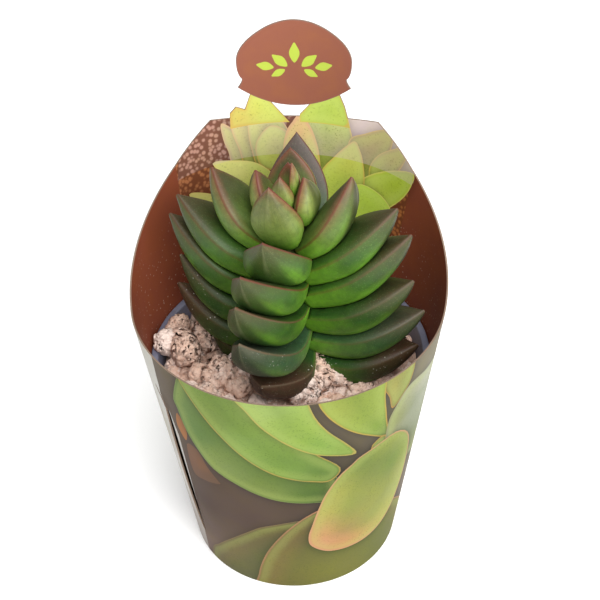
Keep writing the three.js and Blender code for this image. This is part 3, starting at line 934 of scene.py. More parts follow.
@dataclass
class StoneHeap:
    """The loose porous stones, each carved out of its plain solid."""

    count: int = 25
    voxel: float = 0.42
    growth: float = 0.85
    heaped: tuple[int, ...] = (3, 4, 5, 7, 8, 12, 13, 14, 15, 18)
    seed: int = 7
    looks: dict[int, tuple[float, float]] = field(
        default_factory=lambda: {
            1: (0.95, 0.1), 2: (0.3, 0.3), 3: (0.3, 0.35), 4: (0.35, 0.3), 5: (0.9, 0.1),
            6: (0.2, 0.8), 7: (0.75, 0.25), 8: (0.45, 0.5), 9: (0.3, 0.5), 10: (0.35, 0.6),
            12: (0.5, 0.4), 13: (0.45, 0.5), 14: (0.7, 0.4), 18: (0.9, 0.9), 19: (0.3, 0.7),
        }
    )

    def rounded(self, node: bpy.types.Object) -> bpy.types.Object:
        """A fine even mesh over a plain stone, its corners worn round.

        Args:
            node: The plain stone.

        Returns:
            A new object.
        """
        mesh = bmesh.new()
        mesh.from_mesh(node.data)
        bmesh.ops.remove_doubles(mesh, verts=mesh.verts, dist=1e-7)
        bmesh.ops.recalc_face_normals(mesh, faces=mesh.faces)
        data = bpy.data.meshes.new(node.name + "_rough")
        mesh.to_mesh(data)
        mesh.free()
        blank = bpy.data.objects.new(node.name + "_rough", data)
        bpy.context.scene.collection.objects.link(blank)
        remesh = blank.modifiers.new("even", "REMESH")
        remesh.mode, remesh.voxel_size = "VOXEL", self.voxel * MM
        wear = blank.modifiers.new("worn", "SMOOTH")
        wear.factor, wear.iterations = 0.5, 7
        graph = bpy.context.evaluated_depsgraph_get()
        made = bpy.data.meshes.new_from_object(blank.evaluated_get(graph))
        bpy.data.objects.remove(blank)
        piece = bpy.data.objects.new(node.name.replace("stone", "porous_stone"), made)
        bpy.context.scene.collection.objects.link(piece)
        return piece

    def carve(self, piece: bpy.types.Object, index: int) -> None:
        """Breaks a stone's surface into hollows, chips and pits.

        Args:
            piece: The stone.
            index: Its number, which seeds its pattern.
        """
        mesh = piece.data
        drift = Vector((index * 17.3, index * 5.1, self.seed))
        swell = self.growth * (1.9 if index in self.heaped else 1)
        hollow = []
        for vertex in mesh.vertices:
            spot = vertex.co / MM + drift
            chip = noise.fractal(spot / 4.4, 0.7, 2.1, 5)
            grain = noise.fractal(spot / 0.9, 0.8, 2.0, 3)
            near, _ = noise.voronoi(spot / 1.5)
            gaps, plates = noise.voronoi(spot / 5.2)
            pit = max(0.0, 1 - near[0] / 0.3) if noise.noise(spot / 3.0) > 0.0 else 0.0
            crack = max(0.0, 1 - (gaps[1] - gaps[0]) / 0.05)
            plate = noise.cell(plates[0] * 7) - 0.5
            height = 1.1 * chip + 0.3 * grain + 0.5 * plate - 0.4 * pit - 0.3 * crack
            vertex.co += vertex.normal * ((min(height, 0.7) + swell) * MM)
            # How far each point lies down in a pit or crack, which the stone's material paints as shade.
            hollow.append(min(1.0, pit * 0.5 + crack * 0.55))
        pale, stain = self.looks.get(index, (0.45, 0.45))
        carried = {"hollow": hollow, "pale": [pale] * len(hollow), "stain": [stain] * len(hollow)}
        for key, values in carried.items():
            layer = mesh.attributes.new(key, "FLOAT", "POINT")
            layer.data.foreach_set("value", np.array(values, np.float32))

    def build(self, stone: bpy.types.Material) -> None:
        """Makes every stone.

        Args:
            stone: The stones' material.
        """
        for index in range(1, self.count + 1):
            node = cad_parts[f"stone_{index:02d}"]
            piece = self.rounded(node)
            self.carve(piece, index)
            piece.data.materials.clear()
            piece.data.materials.append(stone)
            piece.data.shade_smooth()
            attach(piece, "root")
            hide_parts(node.name)
            log.info("%s: %d faces", piece.name, len(piece.data.polygons))


@dataclass
class GravelBed:
    """The bed of fine broken gravel: a lumpy floor with chips and grit lying on it."""

    pot_inner: float = 39.45
    top: float = 66.2
    bottom: float = 63.9
    lump: float = 0.7
    mound: float = 0.8
    rings: int = 60
    sides: int = 128
    seed: int = 5
    chip_count: int = 290
    chip_size: float = 7.6
    grit_count: int = 2600
    grit_size: float = 1.3

    def height(self, x: np.ndarray, y: np.ndarray) -> np.ndarray:
        """Height of the bed's uneven top.

        Args:
            x: Places across.
            y: Places back.

        Returns:
            Their heights.
        """
        share = np.hypot(x, y) / self.pot_inner
        lumps = np.sin(x * 0.55 + 1.3) * np.cos(y * 0.62) + np.sin(0.31 * x - 0.47 * y)
        return self.top + self.mound * (1 - share**2) + self.lump * lumps / 2

    def floor(self, stone: bpy.types.Material) -> bpy.types.Object:
        """The bed itself, a closed slab with a lumpy top.

        Args:
            stone: Its material.

        Returns:
            The object.
        """
        radii = np.concatenate([[self.pot_inner - 0.6], np.linspace(self.pot_inner - 0.6, 0.8, self.rings)])
        turns = np.arange(self.sides) * 2 * np.pi / self.sides
        x, y = radii[:, None] * np.cos(turns), radii[:, None] * np.sin(turns)
        spots = [Vector((a, b, 1.0)) / 2.2 for a, b in zip(x.ravel(), y.ravel())]
        rough = np.array([noise.fractal(spot, 0.8, 2.0, 4) for spot in spots]).reshape(x.shape)
        z = self.height(x, y) - 0.8 + 0.5 * rough
        z[0] = self.bottom
        points = np.stack([x, y, z], -1).reshape(-1, 3)
        points = np.vstack([points, (0, 0, self.bottom), (0, 0, z[-1].mean())])
        faces = ring_faces(len(radii), self.sides)
        last = (len(radii) - 1) * self.sides
        for j in range(self.sides):
            k = (j + 1) % self.sides
            faces += [(len(points) - 2, j, k), (len(points) - 1, last + k, last + j)]
        # The floor shows only between the chips; its full hollow value paints shade there, and its stain
        # gives a reddish tone.
        looks = {"pale": 0.1, "stain": 0.9, "hollow": 1.0}
        carried = {key: np.full(len(points), value) for key, value in looks.items()}
        return mesh_object("gravel_floor", points, outwards(points, faces), [stone], carried)

    def crumb_tree(self, stone: bpy.types.Material) -> bpy.types.GeometryNodeTree:
        """Nodes that strew crumbs of broken stone over a surface.

        Args:
            stone: The crumbs' material.

        Returns:
            The tree, with its sizes as named inputs.
        """
        tree = bpy.data.node_groups.new("strewn_crumbs", "GeometryNodeTree")
        face = tree.interface
        face.new_socket("Geometry", in_out="INPUT", socket_type="NodeSocketGeometry")
        inputs = {"Density": "Float", "Size": "Float", "Seed": "Int", "Cuts": "Int"}
        for name, kind in inputs.items():
            face.new_socket(name, in_out="INPUT", socket_type="NodeSocket" + kind)
        face.new_socket("Geometry", in_out="OUTPUT", socket_type="NodeSocketGeometry")

        node = partial(add_node, tree)
        given = node("NodeGroupInput").outputs
        spots = node(
            "GeometryNodeDistributePointsOnFaces",
            {"distribute_method": "RANDOM"},
            {"Mesh": given["Geometry"], "Density": given["Density"], "Seed": given["Seed"]},
        ).outputs
        blocks = node("GeometryNodeJoinGeometry")
        for variant in range(5):
            cuts = {f"Vertices {axis}": given["Cuts"] for axis in "XYZ"}
            block = node("GeometryNodeMeshCube", None, {"Size": (1.0, 1.0, 1.0), **cuts})
            at = node("GeometryNodeInputPosition").outputs[0]
            ball = node("ShaderNodeVectorMath", {"operation": "NORMALIZE"}, {0: at}).outputs[0]
            values = {"Vector": ball, "Scale": 2.0, "W": 3.7 * variant + 1, "Detail": 2.0}
            bumps = node("ShaderNodeTexNoise", {"noise_dimensions": "4D"}, values).outputs["Color"]
            values = {0: bumps, 1: (0.9,) * 3, 2: ball}
            pushed = node("ShaderNodeVectorMath", {"operation": "MULTIPLY_ADD"}, values).outputs[0]
            values = {0: pushed, 1: (0.45,) * 3}
            middled = node("ShaderNodeVectorMath", {"operation": "SUBTRACT"}, values).outputs[0]
            halved = node("ShaderNodeVectorMath", {"operation": "SCALE"}, {0: middled, 3: 0.5}).outputs[0]
            values = {"Geometry": block.outputs["Mesh"], "Position": halved}
            moved = node("GeometryNodeSetPosition", None, values).outputs[0]
            single = node("GeometryNodeGeometryToInstance", None, {"Geometry": moved})
            tree.links.new(single.outputs[0], blocks.inputs[0])
        turn = node(
            "FunctionNodeRandomValue",
            {"data_type": "FLOAT_VECTOR"},
            {"Min": (0.0,) * 3, "Max": (2 * math.pi,) * 3, "Seed": given["Seed"]},
        ).outputs[0]
        grown = node(
            "FunctionNodeRandomValue",
            {"data_type": "FLOAT_VECTOR"},
            {"Min": (0.5, 0.45, 0.45), "Max": (1.2, 1.05, 0.95), "Seed": 3},
        ).outputs[0]
        scale = node("ShaderNodeVectorMath", {"operation": "SCALE"}, {0: grown, 3: given["Size"]}).outputs[0]
        strewn = node(
            "GeometryNodeInstanceOnPoints",
            None,
            {
                "Points": spots["Points"],
                "Instance": blocks.outputs[0],
                "Pick Instance": True,
                "Rotation": turn,
                "Scale": scale,
            },
        ).outputs[0]
        real = node("GeometryNodeRealizeInstances", None, {"Geometry": strewn}).outputs[0]
        dressed = node("GeometryNodeSetMaterial", None, {"Geometry": real, "Material": stone}).outputs[0]
        node("NodeGroupOutput", None, {"Geometry": dressed})
        return tree

    def strew(
        self,
        name: str,
        floor: bpy.types.Object,
        tree: bpy.types.GeometryNodeTree,
        count: int,
        size: float,
        cuts: int,
    ) -> bpy.types.Object:
        """Strews crumbs over the bed as one plain mesh.

        Args:
            name: The new piece's name.
            floor: The bed.
            tree: The nodes that strew.
            count: How many crumbs.
            size: Their middle size.
            cuts: How many points each has along an edge.

        Returns:
            The piece.
        """
        bearer = bpy.data.objects.new(name + "_bearer", self.top_only(floor))
        bpy.context.scene.collection.objects.link(bearer)
        modifier = bearer.modifiers.new("strew", "NODES")
        modifier.node_group = tree
        area = math.pi * (self.pot_inner * MM) ** 2
        values = {"Density": count / area, "Size": size * MM, "Seed": self.seed, "Cuts": cuts}
        sockets = {item.name: item.identifier for item in tree.interface.items_tree if item.in_out == "INPUT"}
        for key, value in values.items():
            modifier[sockets[key]] = value
        graph = bpy.context.evaluated_depsgraph_get()
        data = bpy.data.meshes.new_from_object(bearer.evaluated_get(graph))
        bpy.data.objects.remove(bearer)
        data.name = name
        piece = bpy.data.objects.new(name, data)
        bpy.context.scene.collection.objects.link(piece)
        self.vary(piece, cuts**3 - (cuts - 2) ** 3)
        return piece

    def top_only(self, floor: bpy.types.Object) -> bpy.types.Mesh:
        """A copy of the bed's upward faces, clear of the pot's wall.

        Args:
            floor: The bed.

        Returns:
            The copy.
        """
        mesh = bmesh.new()
        mesh.from_mesh(floor.data)
        room = (self.pot_inner - 2.4) * MM
        shut = [f for f in mesh.faces if f.normal.z < 0.2 or f.calc_center_median().xy.length > room]
        bmesh.ops.delete(mesh, geom=shut, context="FACES")
        data = bpy.data.meshes.new("gravel_top")
        mesh.to_mesh(data)
        mesh.free()
        return data

    def vary(self, piece: bpy.types.Object, per_crumb: int) -> None:
        """Gives each crumb its own paleness and stain.

        Args:
            piece: The strewn crumbs.
            per_crumb: How many points each has.
        """
        mesh = piece.data
        numbers = np.zeros((3, len(mesh.vertices)), np.float32)
        random = np.random.default_rng(self.seed)
        crumbs = len(mesh.vertices) // per_crumb
        shades = random.uniform((0.0, 0.0, 0.0), (1.0, 1.0, 0.3), (crumbs, 3))
        numbers[:, : crumbs * per_crumb] = np.repeat(shades, per_crumb, 0).T
        for key, values in zip(("pale", "stain", "hollow"), numbers):
            if key in mesh.attributes:
                mesh.attributes.remove(mesh.attributes[key])
            layer = mesh.attributes.new(key, "FLOAT", "POINT")
            layer.data.foreach_set("value", values)

    def build(self, stone: bpy.types.Material) -> None:
        """Makes the bed and what lies on it.

        Args:
            stone: The gravel's material.
        """
        floor = self.floor(stone)
        tree = self.crumb_tree(stone)
        chips = self.strew("gravel_chips", floor, tree, self.chip_count, self.chip_size, 5)
        grit = self.strew("gravel_grit", floor, tree, self.grit_count, self.grit_size, 3)
        for piece in (floor, chips, grit):
            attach(piece, "root")
            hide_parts("gravel_bed")
            log.info("%s: %d faces", piece.name, len(piece.data.polygons))


# ---- the pot


@dataclass
class NurseryPot:
    """The thin pot with its stepped rim and drain holes, and the compost in it."""

    rim_radius: float = 42.5
    height: float = 71.5
    draft: float = 9.2
    wall: float = 0.9
    floor: float = 1.2
    rim_depth: float = 5.0
    rim_step: float = 1.3
    edge: float = 0.5
    drain_holes: int = 6
    drain_radius: float = 3.0
    drain_inset: float = 9.0
    sides: int = 144

    def rim_outer(self, z: float) -> float:
        """Outer radius of the rim at a height."""
        return self.rim_radius - math.tan(math.radians(self.draft)) * (self.height - z)

    def body_outer(self, z: float) -> float:
        """Outer radius of the body at a height."""
        return self.rim_outer(z) - self.rim_step

    def inner(self, z: float) -> float:
        """Inner radius at a height."""
        return self.body_outer(z) - self.wall

    def profile(self) -> list[tuple[float, float]]:
        """The pot's outline, from the middle of its underside round to the middle of its floor.

        Returns:
            Radius and height pairs.
        """
        skirt, top, edge = self.height - self.rim_depth, self.height, self.edge
        arc = [(math.cos(a), math.sin(a)) for a in np.linspace(0, math.pi / 2, 5)]
        outer_edge = [(self.rim_outer(top) - edge + edge * c, top - edge + edge * s) for c, s in arc]
        inner_edge = [(self.inner(top) + edge - edge * c, top - edge + edge * s) for c, s in arc]
        return [
            (0.0, 0.0),
            (self.body_outer(0) - 1, 0.0),
            (self.body_outer(0) - 0.3, 0.25),
            (self.body_outer(1), 1.0),
            *[(self.body_outer(z), z) for z in np.linspace(4, skirt, 12)],
            (self.rim_outer(skirt) - edge, skirt),
            (self.rim_outer(skirt) - 0.12, skirt + 0.15),
            (self.rim_outer(skirt + edge), skirt + edge),
            *outer_edge,
            *reversed(inner_edge),
            *[(self.inner(z), z) for z in np.linspace(top - 2, self.floor + 1, 12)],
            (self.inner(self.floor) - 1, self.floor),
            (0.0, self.floor),
        ]

    def drained(self, pot: bpy.types.Object) -> None:
        """Cuts the drain holes through the floor.

        Args:
            pot: The pot.
        """
        circle = self.inner(self.floor) - self.drain_inset
        for i in range(self.drain_holes):
            middle = outward(i * 360 / self.drain_holes) * circle
            points, faces = lathe(
                [(0.0, -2.0), (self.drain_radius, -2.0), (self.drain_radius, 4.0), (0.0, 4.0)], 32
            )
            drill = mesh_object("drill", points + middle, faces, [])
            cut = pot.modifiers.new("drain", "BOOLEAN")
            cut.object, cut.operation, cut.solver = drill, "DIFFERENCE", "EXACT"
            graph = bpy.context.evaluated_depsgraph_get()
            data = bpy.data.meshes.new_from_object(pot.evaluated_get(graph))
            pot.modifiers.clear()
            pot.data = data
            bpy.data.objects.remove(drill)

    def build(self) -> None:
        """Makes the pot and dresses the compost."""
        points, faces = lathe(self.profile(), self.sides)
        pot = mesh_object("thin_pot", points, faces, [])
        self.drained(pot)
        pot.data.materials.clear()
        pot.data.materials.append(PotPlastic().material())
        pot.data.shade_smooth()
        pot.data.set_sharp_from_angle(angle=math.radians(50))
        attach(pot, "root")
        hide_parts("pot")
        log.info("thin_pot: %d faces", len(pot.data.polygons))
        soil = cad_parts["soil"]
        soil.data.materials.clear()
        soil.data.materials.append(Compost().material())
        log.info("soil dressed")


# ---- the display sleeve


class SheetSide(Enum):
    """The faces of the printed sheet, by the number of their material slot."""

    OUTSIDE = 0
    INSIDE = 1
    CUT_EDGE = 2


Outline = Sequence[tuple[float, float]]


def inside(places: np.ndarray, outline: np.ndarray) -> np.ndarray:
    """Which places, as rows of two numbers, lie inside a closed outline.

    Args:
        places: The places.
        outline: The outline.

    Returns:
        True for each place inside.
    """
    x, y = places.T
    hit = np.zeros(len(places), bool)
    for (ax, ay), (bx, by) in zip(outline, np.roll(outline, -1, 0)):
        if ay != by:
            hit ^= ((ay > y) != (by > y)) & (x < (bx - ax) * (y - ay) / (by - ay) + ax)
    return hit


def away(places: np.ndarray, outline: np.ndarray) -> np.ndarray:
    """Distance of each place from a closed outline.

    Args:
        places: Rows of two numbers.
        outline: The outline.

    Returns:
        The distances.
    """
    least = np.full(len(places), 1e9)
    for a, b in zip(outline, np.roll(outline, -1, 0)):
        side = b - a
        share = np.clip((places - a) @ side / max(float(side @ side), 1e-9), 0, 1)
        least = np.minimum(least, np.linalg.norm(places - a - share[:, None] * side, axis=1))
    return least


def flowing(outline: Outline, steps: int = 4) -> np.ndarray:
    """A closed outline with a smooth curve through its points.

    Args:
        outline: Its corners.
        steps: How many points each side gets.

    Returns:
        The points of the curve.
    """
    p = np.array(outline, float)
    a, b, c, d = np.roll(p, 1, 0), p, np.roll(p, -1, 0), np.roll(p, -2, 0)
    rows = []
    for t in np.arange(steps) / steps:
        bend = (2 * a - 5 * b + 4 * c - d) * t**2 + (3 * b - a - 3 * c + d) * t**3
        rows.append(b + ((c - a) * t + bend) / 2)
    return np.stack(rows, 1).reshape(-1, 2)


def blended(places: np.ndarray, tones: Sequence[tuple[float, float, Colour]]) -> np.ndarray:
    """The colour at each place, between tones set at a few spots.

    Args:
        places: Rows of two numbers.
        tones: Across, up and colour of each spot.

    Returns:
        A colour for each place.
    """
    spots = np.array([(x, y) for x, y, _ in tones])
    colours = np.array([paint(*colour) for _, _, colour in tones])
    reach = np.linalg.norm(places[:, None, :] - spots[None], axis=2)
    weight = 1 / (reach**2 + 4.0)
    return (weight / weight.sum(1, keepdims=True)) @ colours


@dataclass(frozen=True)
class PrintedShape:
    """A flat shape in the print: its outline, the tones inside it and the line round it.

    Places are millimetres across and up, and colours are everyday 0 to 255 values. Its line is a width, its
    shadow what it casts on what lies behind.
    """

    outline: Outline
    tones: tuple[tuple[float, float, Colour], ...]
    rim: Colour = (190, 150, 80)
    line: float = 0.7
    shadow: float = 0.45
    grit: float = 0.0
    share: float = 1.0
    curved: bool = True

    def drawn(self) -> np.ndarray:
        """The outline, smooth where the shape is curved."""
        return flowing(self.outline) if self.curved else np.array(self.outline, float)

    def taller(self, factor: float) -> "PrintedShape":
        """The same shape, drawn out upwards."""
        outline = tuple((x, y * factor) for x, y in self.outline)
        return replace(self, outline=outline, tones=tuple((x, y * factor, c) for x, y, c in self.tones))


@dataclass(frozen=True)
class Ink:
    """What the corners of the print's triangles carry, named as the material reads it."""

    ink: np.ndarray
    rim: np.ndarray
    depth: np.ndarray
    line: np.ndarray
    grit: np.ndarray

    @staticmethod
    def laid(corners: np.ndarray, ground: np.ndarray, shapes: Sequence[PrintedShape]) -> "Ink":
        """Prints shapes over a ground, from the back of the picture to its front.

        Args:
            corners: Triangles by corners by two, in millimetres.
            ground: The colour behind everything, for each corner.
            shapes: The shapes.

        Returns:
            The ink at every corner.
        """
        count = len(corners)
        middles, colour = corners.mean(1), ground.reshape(count, 3, 3).copy()
        rim = np.zeros((count, 3, 3))
        depth, line, grit = np.full((count, 3), 99.0), np.zeros((count, 3)), np.zeros((count, 3))
        for shape in shapes:
            outline = shape.drawn()
            low, high = outline.min(0) - 6, outline.max(0) + 6
            close = ((middles > low) & (middles < high)).all(1)
            reach = np.full((count, 3), 99.0)
            reach[close] = away(corners[close].reshape(-1, 2), outline).reshape(-1, 3)
            covers = np.zeros(count, bool)
            covers[close] = inside(middles[close], outline)
            colour[~covers] *= (1 - shape.shadow * np.exp(-reach[~covers] / 1.6))[..., None]
            if not covers.any():
                continue
            tone = blended(corners[covers].reshape(-1, 2), shape.tones).reshape(-1, 3, 3)
            colour[covers] += (tone - colour[covers]) * shape.share
            if shape.share < 1:
                rim[covers] += (tone - rim[covers]) * shape.share
                continue
            rim[covers], depth[covers] = paint(*shape.rim), reach[covers]
            line[covers], grit[covers] = shape.line, shape.grit
        return Ink(colour, rim, depth, line, grit)

    def beside(self, other: "Ink", own: np.ndarray) -> "Ink":
        """This ink on its own triangles, and another on the rest."""
        pairs = [(getattr(self, part.name), getattr(other, part.name)) for part in fields(self)]
        return Ink(*(np.where(own.reshape(-1, *[1] * (a.ndim - 1)), a, b) for a, b in pairs))


@dataclass(frozen=True)
class SleevePrint:
    """The pictures on the sleeve: big leaves outside, a small plant inside, and a plain badge.

    Its colours are everyday 0 to 255 values.
    """

    brown: Colour = (128, 66, 46)
    badge: Colour = (138, 84, 66)
    edge: Colour = (128, 122, 118)
    lime: Colour = (172, 190, 72)
    warm: Colour = (206, 164, 84)

    def outer_ground(self) -> list[tuple[float, float, Colour]]:
        """The tones behind the outer picture, across from the front and up.

        Returns:
            Across, up and colour of each spot.
        """
        return [
            (-30, 34, (84, 62, 54)), (0, 44, (86, 68, 56)), (-27, 6, (146, 118, 104)),
            (-27, 50, (88, 66, 52)), (-14, 36, (90, 70, 60)), (20, 60, (84, 72, 50)),
            (30, 30, (120, 104, 90)), (-38, 50, (92, 70, 60)), (-35, 20, (104, 84, 74)),
            (50, 60, (170, 168, 140)), (75, 60, (150, 142, 116)), (-80, 60, (150, 142, 120)),
            (130, 60, (112, 98, 76)), (-130, 60, (112, 98, 76)), (100, 60, (130, 120, 94)),
            (-100, 60, (130, 120, 94)),
        ]

    def outer_shapes(self) -> list[PrintedShape]:
        """The outer picture's leaves, the farthest first.

        Returns:
            The shapes. The first is the pale strip left of the slit.
        """
        orange = (196, 124, 62)
        return [
            PrintedShape(
                ((-34.2, -2), (-34.9, 14), (-36.3, 30), (-37.8, 46), (-39.2, 62), (-42, 71), (-46, 78),
                 (-47, 110), (-61, 110), (-59.4, 90), (-57.9, 72), (-56.6, 55), (-55.5, 40), (-54.5, 26),
                 (-53.7, 12), (-53, -2)),
                ((-47, 74, (236, 234, 226)), (-44, 40, (238, 234, 228)), (-42, 10, (196, 186, 178)),
                 (-60, 60, (190, 182, 164))),
                line=0, shadow=0, curved=False,
            ),
            PrintedShape(
                ((-38, 75), (-36, 73.5), (-34.5, 68.5), (-35.5, 63), (-38, 66), (-39, 69.5)),
                ((-36, 70, orange),),
                line=0, shadow=0.1, share=0.8,
            ),
            PrintedShape(
                ((-35.5, 61), (-31, 62), (-27.5, 55.5), (-24, 51), (-23.5, 49.5), (-29.5, 47),
                 (-34.5, 47.5)),
                ((-30, 55, (150, 100, 62)), (-27, 50, (120, 88, 66))),
                line=0, shadow=0.1, share=0.7,
            ),
            PrintedShape(
                ((-31.5, 3), (-27, 12), (-21.5, 20), (-15, 28), (-9, 33.5), (2.5, 37.5), (8, 32), (5, 10),
                 (0, -16), (-30, -20)),
                ((-22, 10, (128, 114, 72)), (-8, 28, (112, 102, 60)), (-20, -6, (120, 108, 84))),
                (150, 126, 84), 0.5, 0.35,
            ),
            PrintedShape(
                ((10, 43), (3.5, 39.5), (-2, 33), (-6.5, 25), (-10, 16), (-12.5, 4), (-13.5, -14),
                 (14, -20), (40, -16), (47, 10), (36, 27), (20, 42)),
                ((-4, 4, (132, 116, 62)), (14, 4, (142, 132, 60)), (30, 10, (126, 122, 56)),
                 (0, 30, (120, 104, 60))),
                (196, 140, 104), 1.0, 0.5,
            ),
            PrintedShape(
                ((-38, 84), (-37, 78), (-34.5, 69.5), (-30, 62), (-25, 56.5), (-17.5, 53), (-10.5, 50),
                 (-4, 48), (5.5, 46.5), (12, 47), (12, 60), (-3.5, 72), (-19.5, 86), (-31.5, 100)),
                ((-30, 72, (108, 140, 66)), (-22, 64, (140, 160, 84)), (-8, 53, (124, 144, 68)),
                 (6, 50, (84, 112, 44))),
                (150, 160, 96), 0.35,
            ),
            PrintedShape(
                ((-34.5, 97), (-33, 92), (-30, 87), (-25.5, 80.5), (-21, 75), (-16.5, 70), (-11.5, 65.5),
                 (-5.5, 61.5), (0.5, 59), (5.5, 57.5), (11, 56.5), (14, 62), (6, 72), (-4.5, 84),
                 (-12, 93), (-18, 106), (-30, 106)),
                ((-24, 84, (128, 152, 68)), (-14, 74, (142, 172, 82)), (-2, 64, (124, 156, 66)),
                 (8, 59, (98, 128, 52))),
                self.warm, 0.8,
            ),
            PrintedShape(
                ((-16.5, 97), (-13, 91), (-9, 84.5), (-4, 79), (0.5, 75), (5.5, 71.5), (11, 69),
                 (19, 66.5), (16, 73), (10.5, 81), (7, 88), (5, 95), (2, 108), (-14, 108)),
                ((-8, 92, (172, 196, 108)), (0, 84, (152, 180, 82)), (8, 74, (138, 172, 76)),
                 (15, 69, (120, 150, 60))),
                (204, 172, 92), 0.9,
            ),
            PrintedShape(
                ((27.5, 94), (30, 86.5), (31.5, 80), (35.5, 83), (39, 88), (40, 96), (36, 106),
                 (29.5, 104)),
                ((31, 90, (170, 160, 84)), (36, 90, (150, 158, 84))),
                (196, 140, 70), 0.6,
            ),
            PrintedShape(
                ((7.5, 96), (9.5, 89.5), (13, 83.5), (17.5, 78), (23.5, 72.5), (30, 68), (29.5, 77.5),
                 (28.5, 88), (28, 100), (20, 108), (8.5, 106)),
                ((14, 90, (158, 172, 74)), (24, 84, (148, 168, 70)), (27, 73, (122, 150, 62))),
                (212, 164, 80), 0.8,
            ),
            PrintedShape(
                ((24, 64), (25, 67.5), (29.5, 68.5), (31, 58.5), (34, 50.5), (30, 50.5), (25.5, 54.5),
                 (23.5, 59)),
                ((26, 64, (150, 164, 80)), (30, 55, (182, 160, 80))),
                (206, 150, 70), 0.7,
            ),
            PrintedShape(
                ((47, 84), (41, 85.5), (37, 84.5), (33.5, 80.5), (30.5, 75), (29.5, 67), (30, 58.5),
                 (33.5, 51), (38, 47), (48, 42), (62, 50), (66, 66), (58, 80)),
                ((34, 72, (146, 152, 96)), (42, 66, (182, 184, 158)), (50, 70, (206, 206, 190)),
                 (38, 50, (132, 140, 78))),
                (160, 150, 100), 0.5,
            ),
            PrintedShape(
                ((22, 64.5), (17.5, 61.5), (13.5, 57.5), (9.5, 50), (7, 42), (5, 33.5), (4, 28.5),
                 (4.5, 23.5), (8, 19.5), (12, 17.5), (18.5, 16.5), (25.5, 17), (32, 20), (38, 27),
                 (42.5, 40), (42, 56), (34, 66)),
                ((22, 60, (122, 140, 62)), (34, 52, (132, 152, 66)), (18, 42, (172, 176, 84)),
                 (28, 30, (182, 184, 92)), (9, 24, (216, 156, 112)), (36, 34, (170, 178, 96)),
                 (14, 20, (206, 150, 100))),
                (222, 160, 124), 1.1, 0.6,
            ),
        ]

    def inner_ground(self) -> list[tuple[float, float, Colour]]:
        """The plain red-brown of the inside, across from the panel's middle and up."""
        return [(0, 60, self.brown), (60, 60, self.brown), (-60, 60, self.brown)]

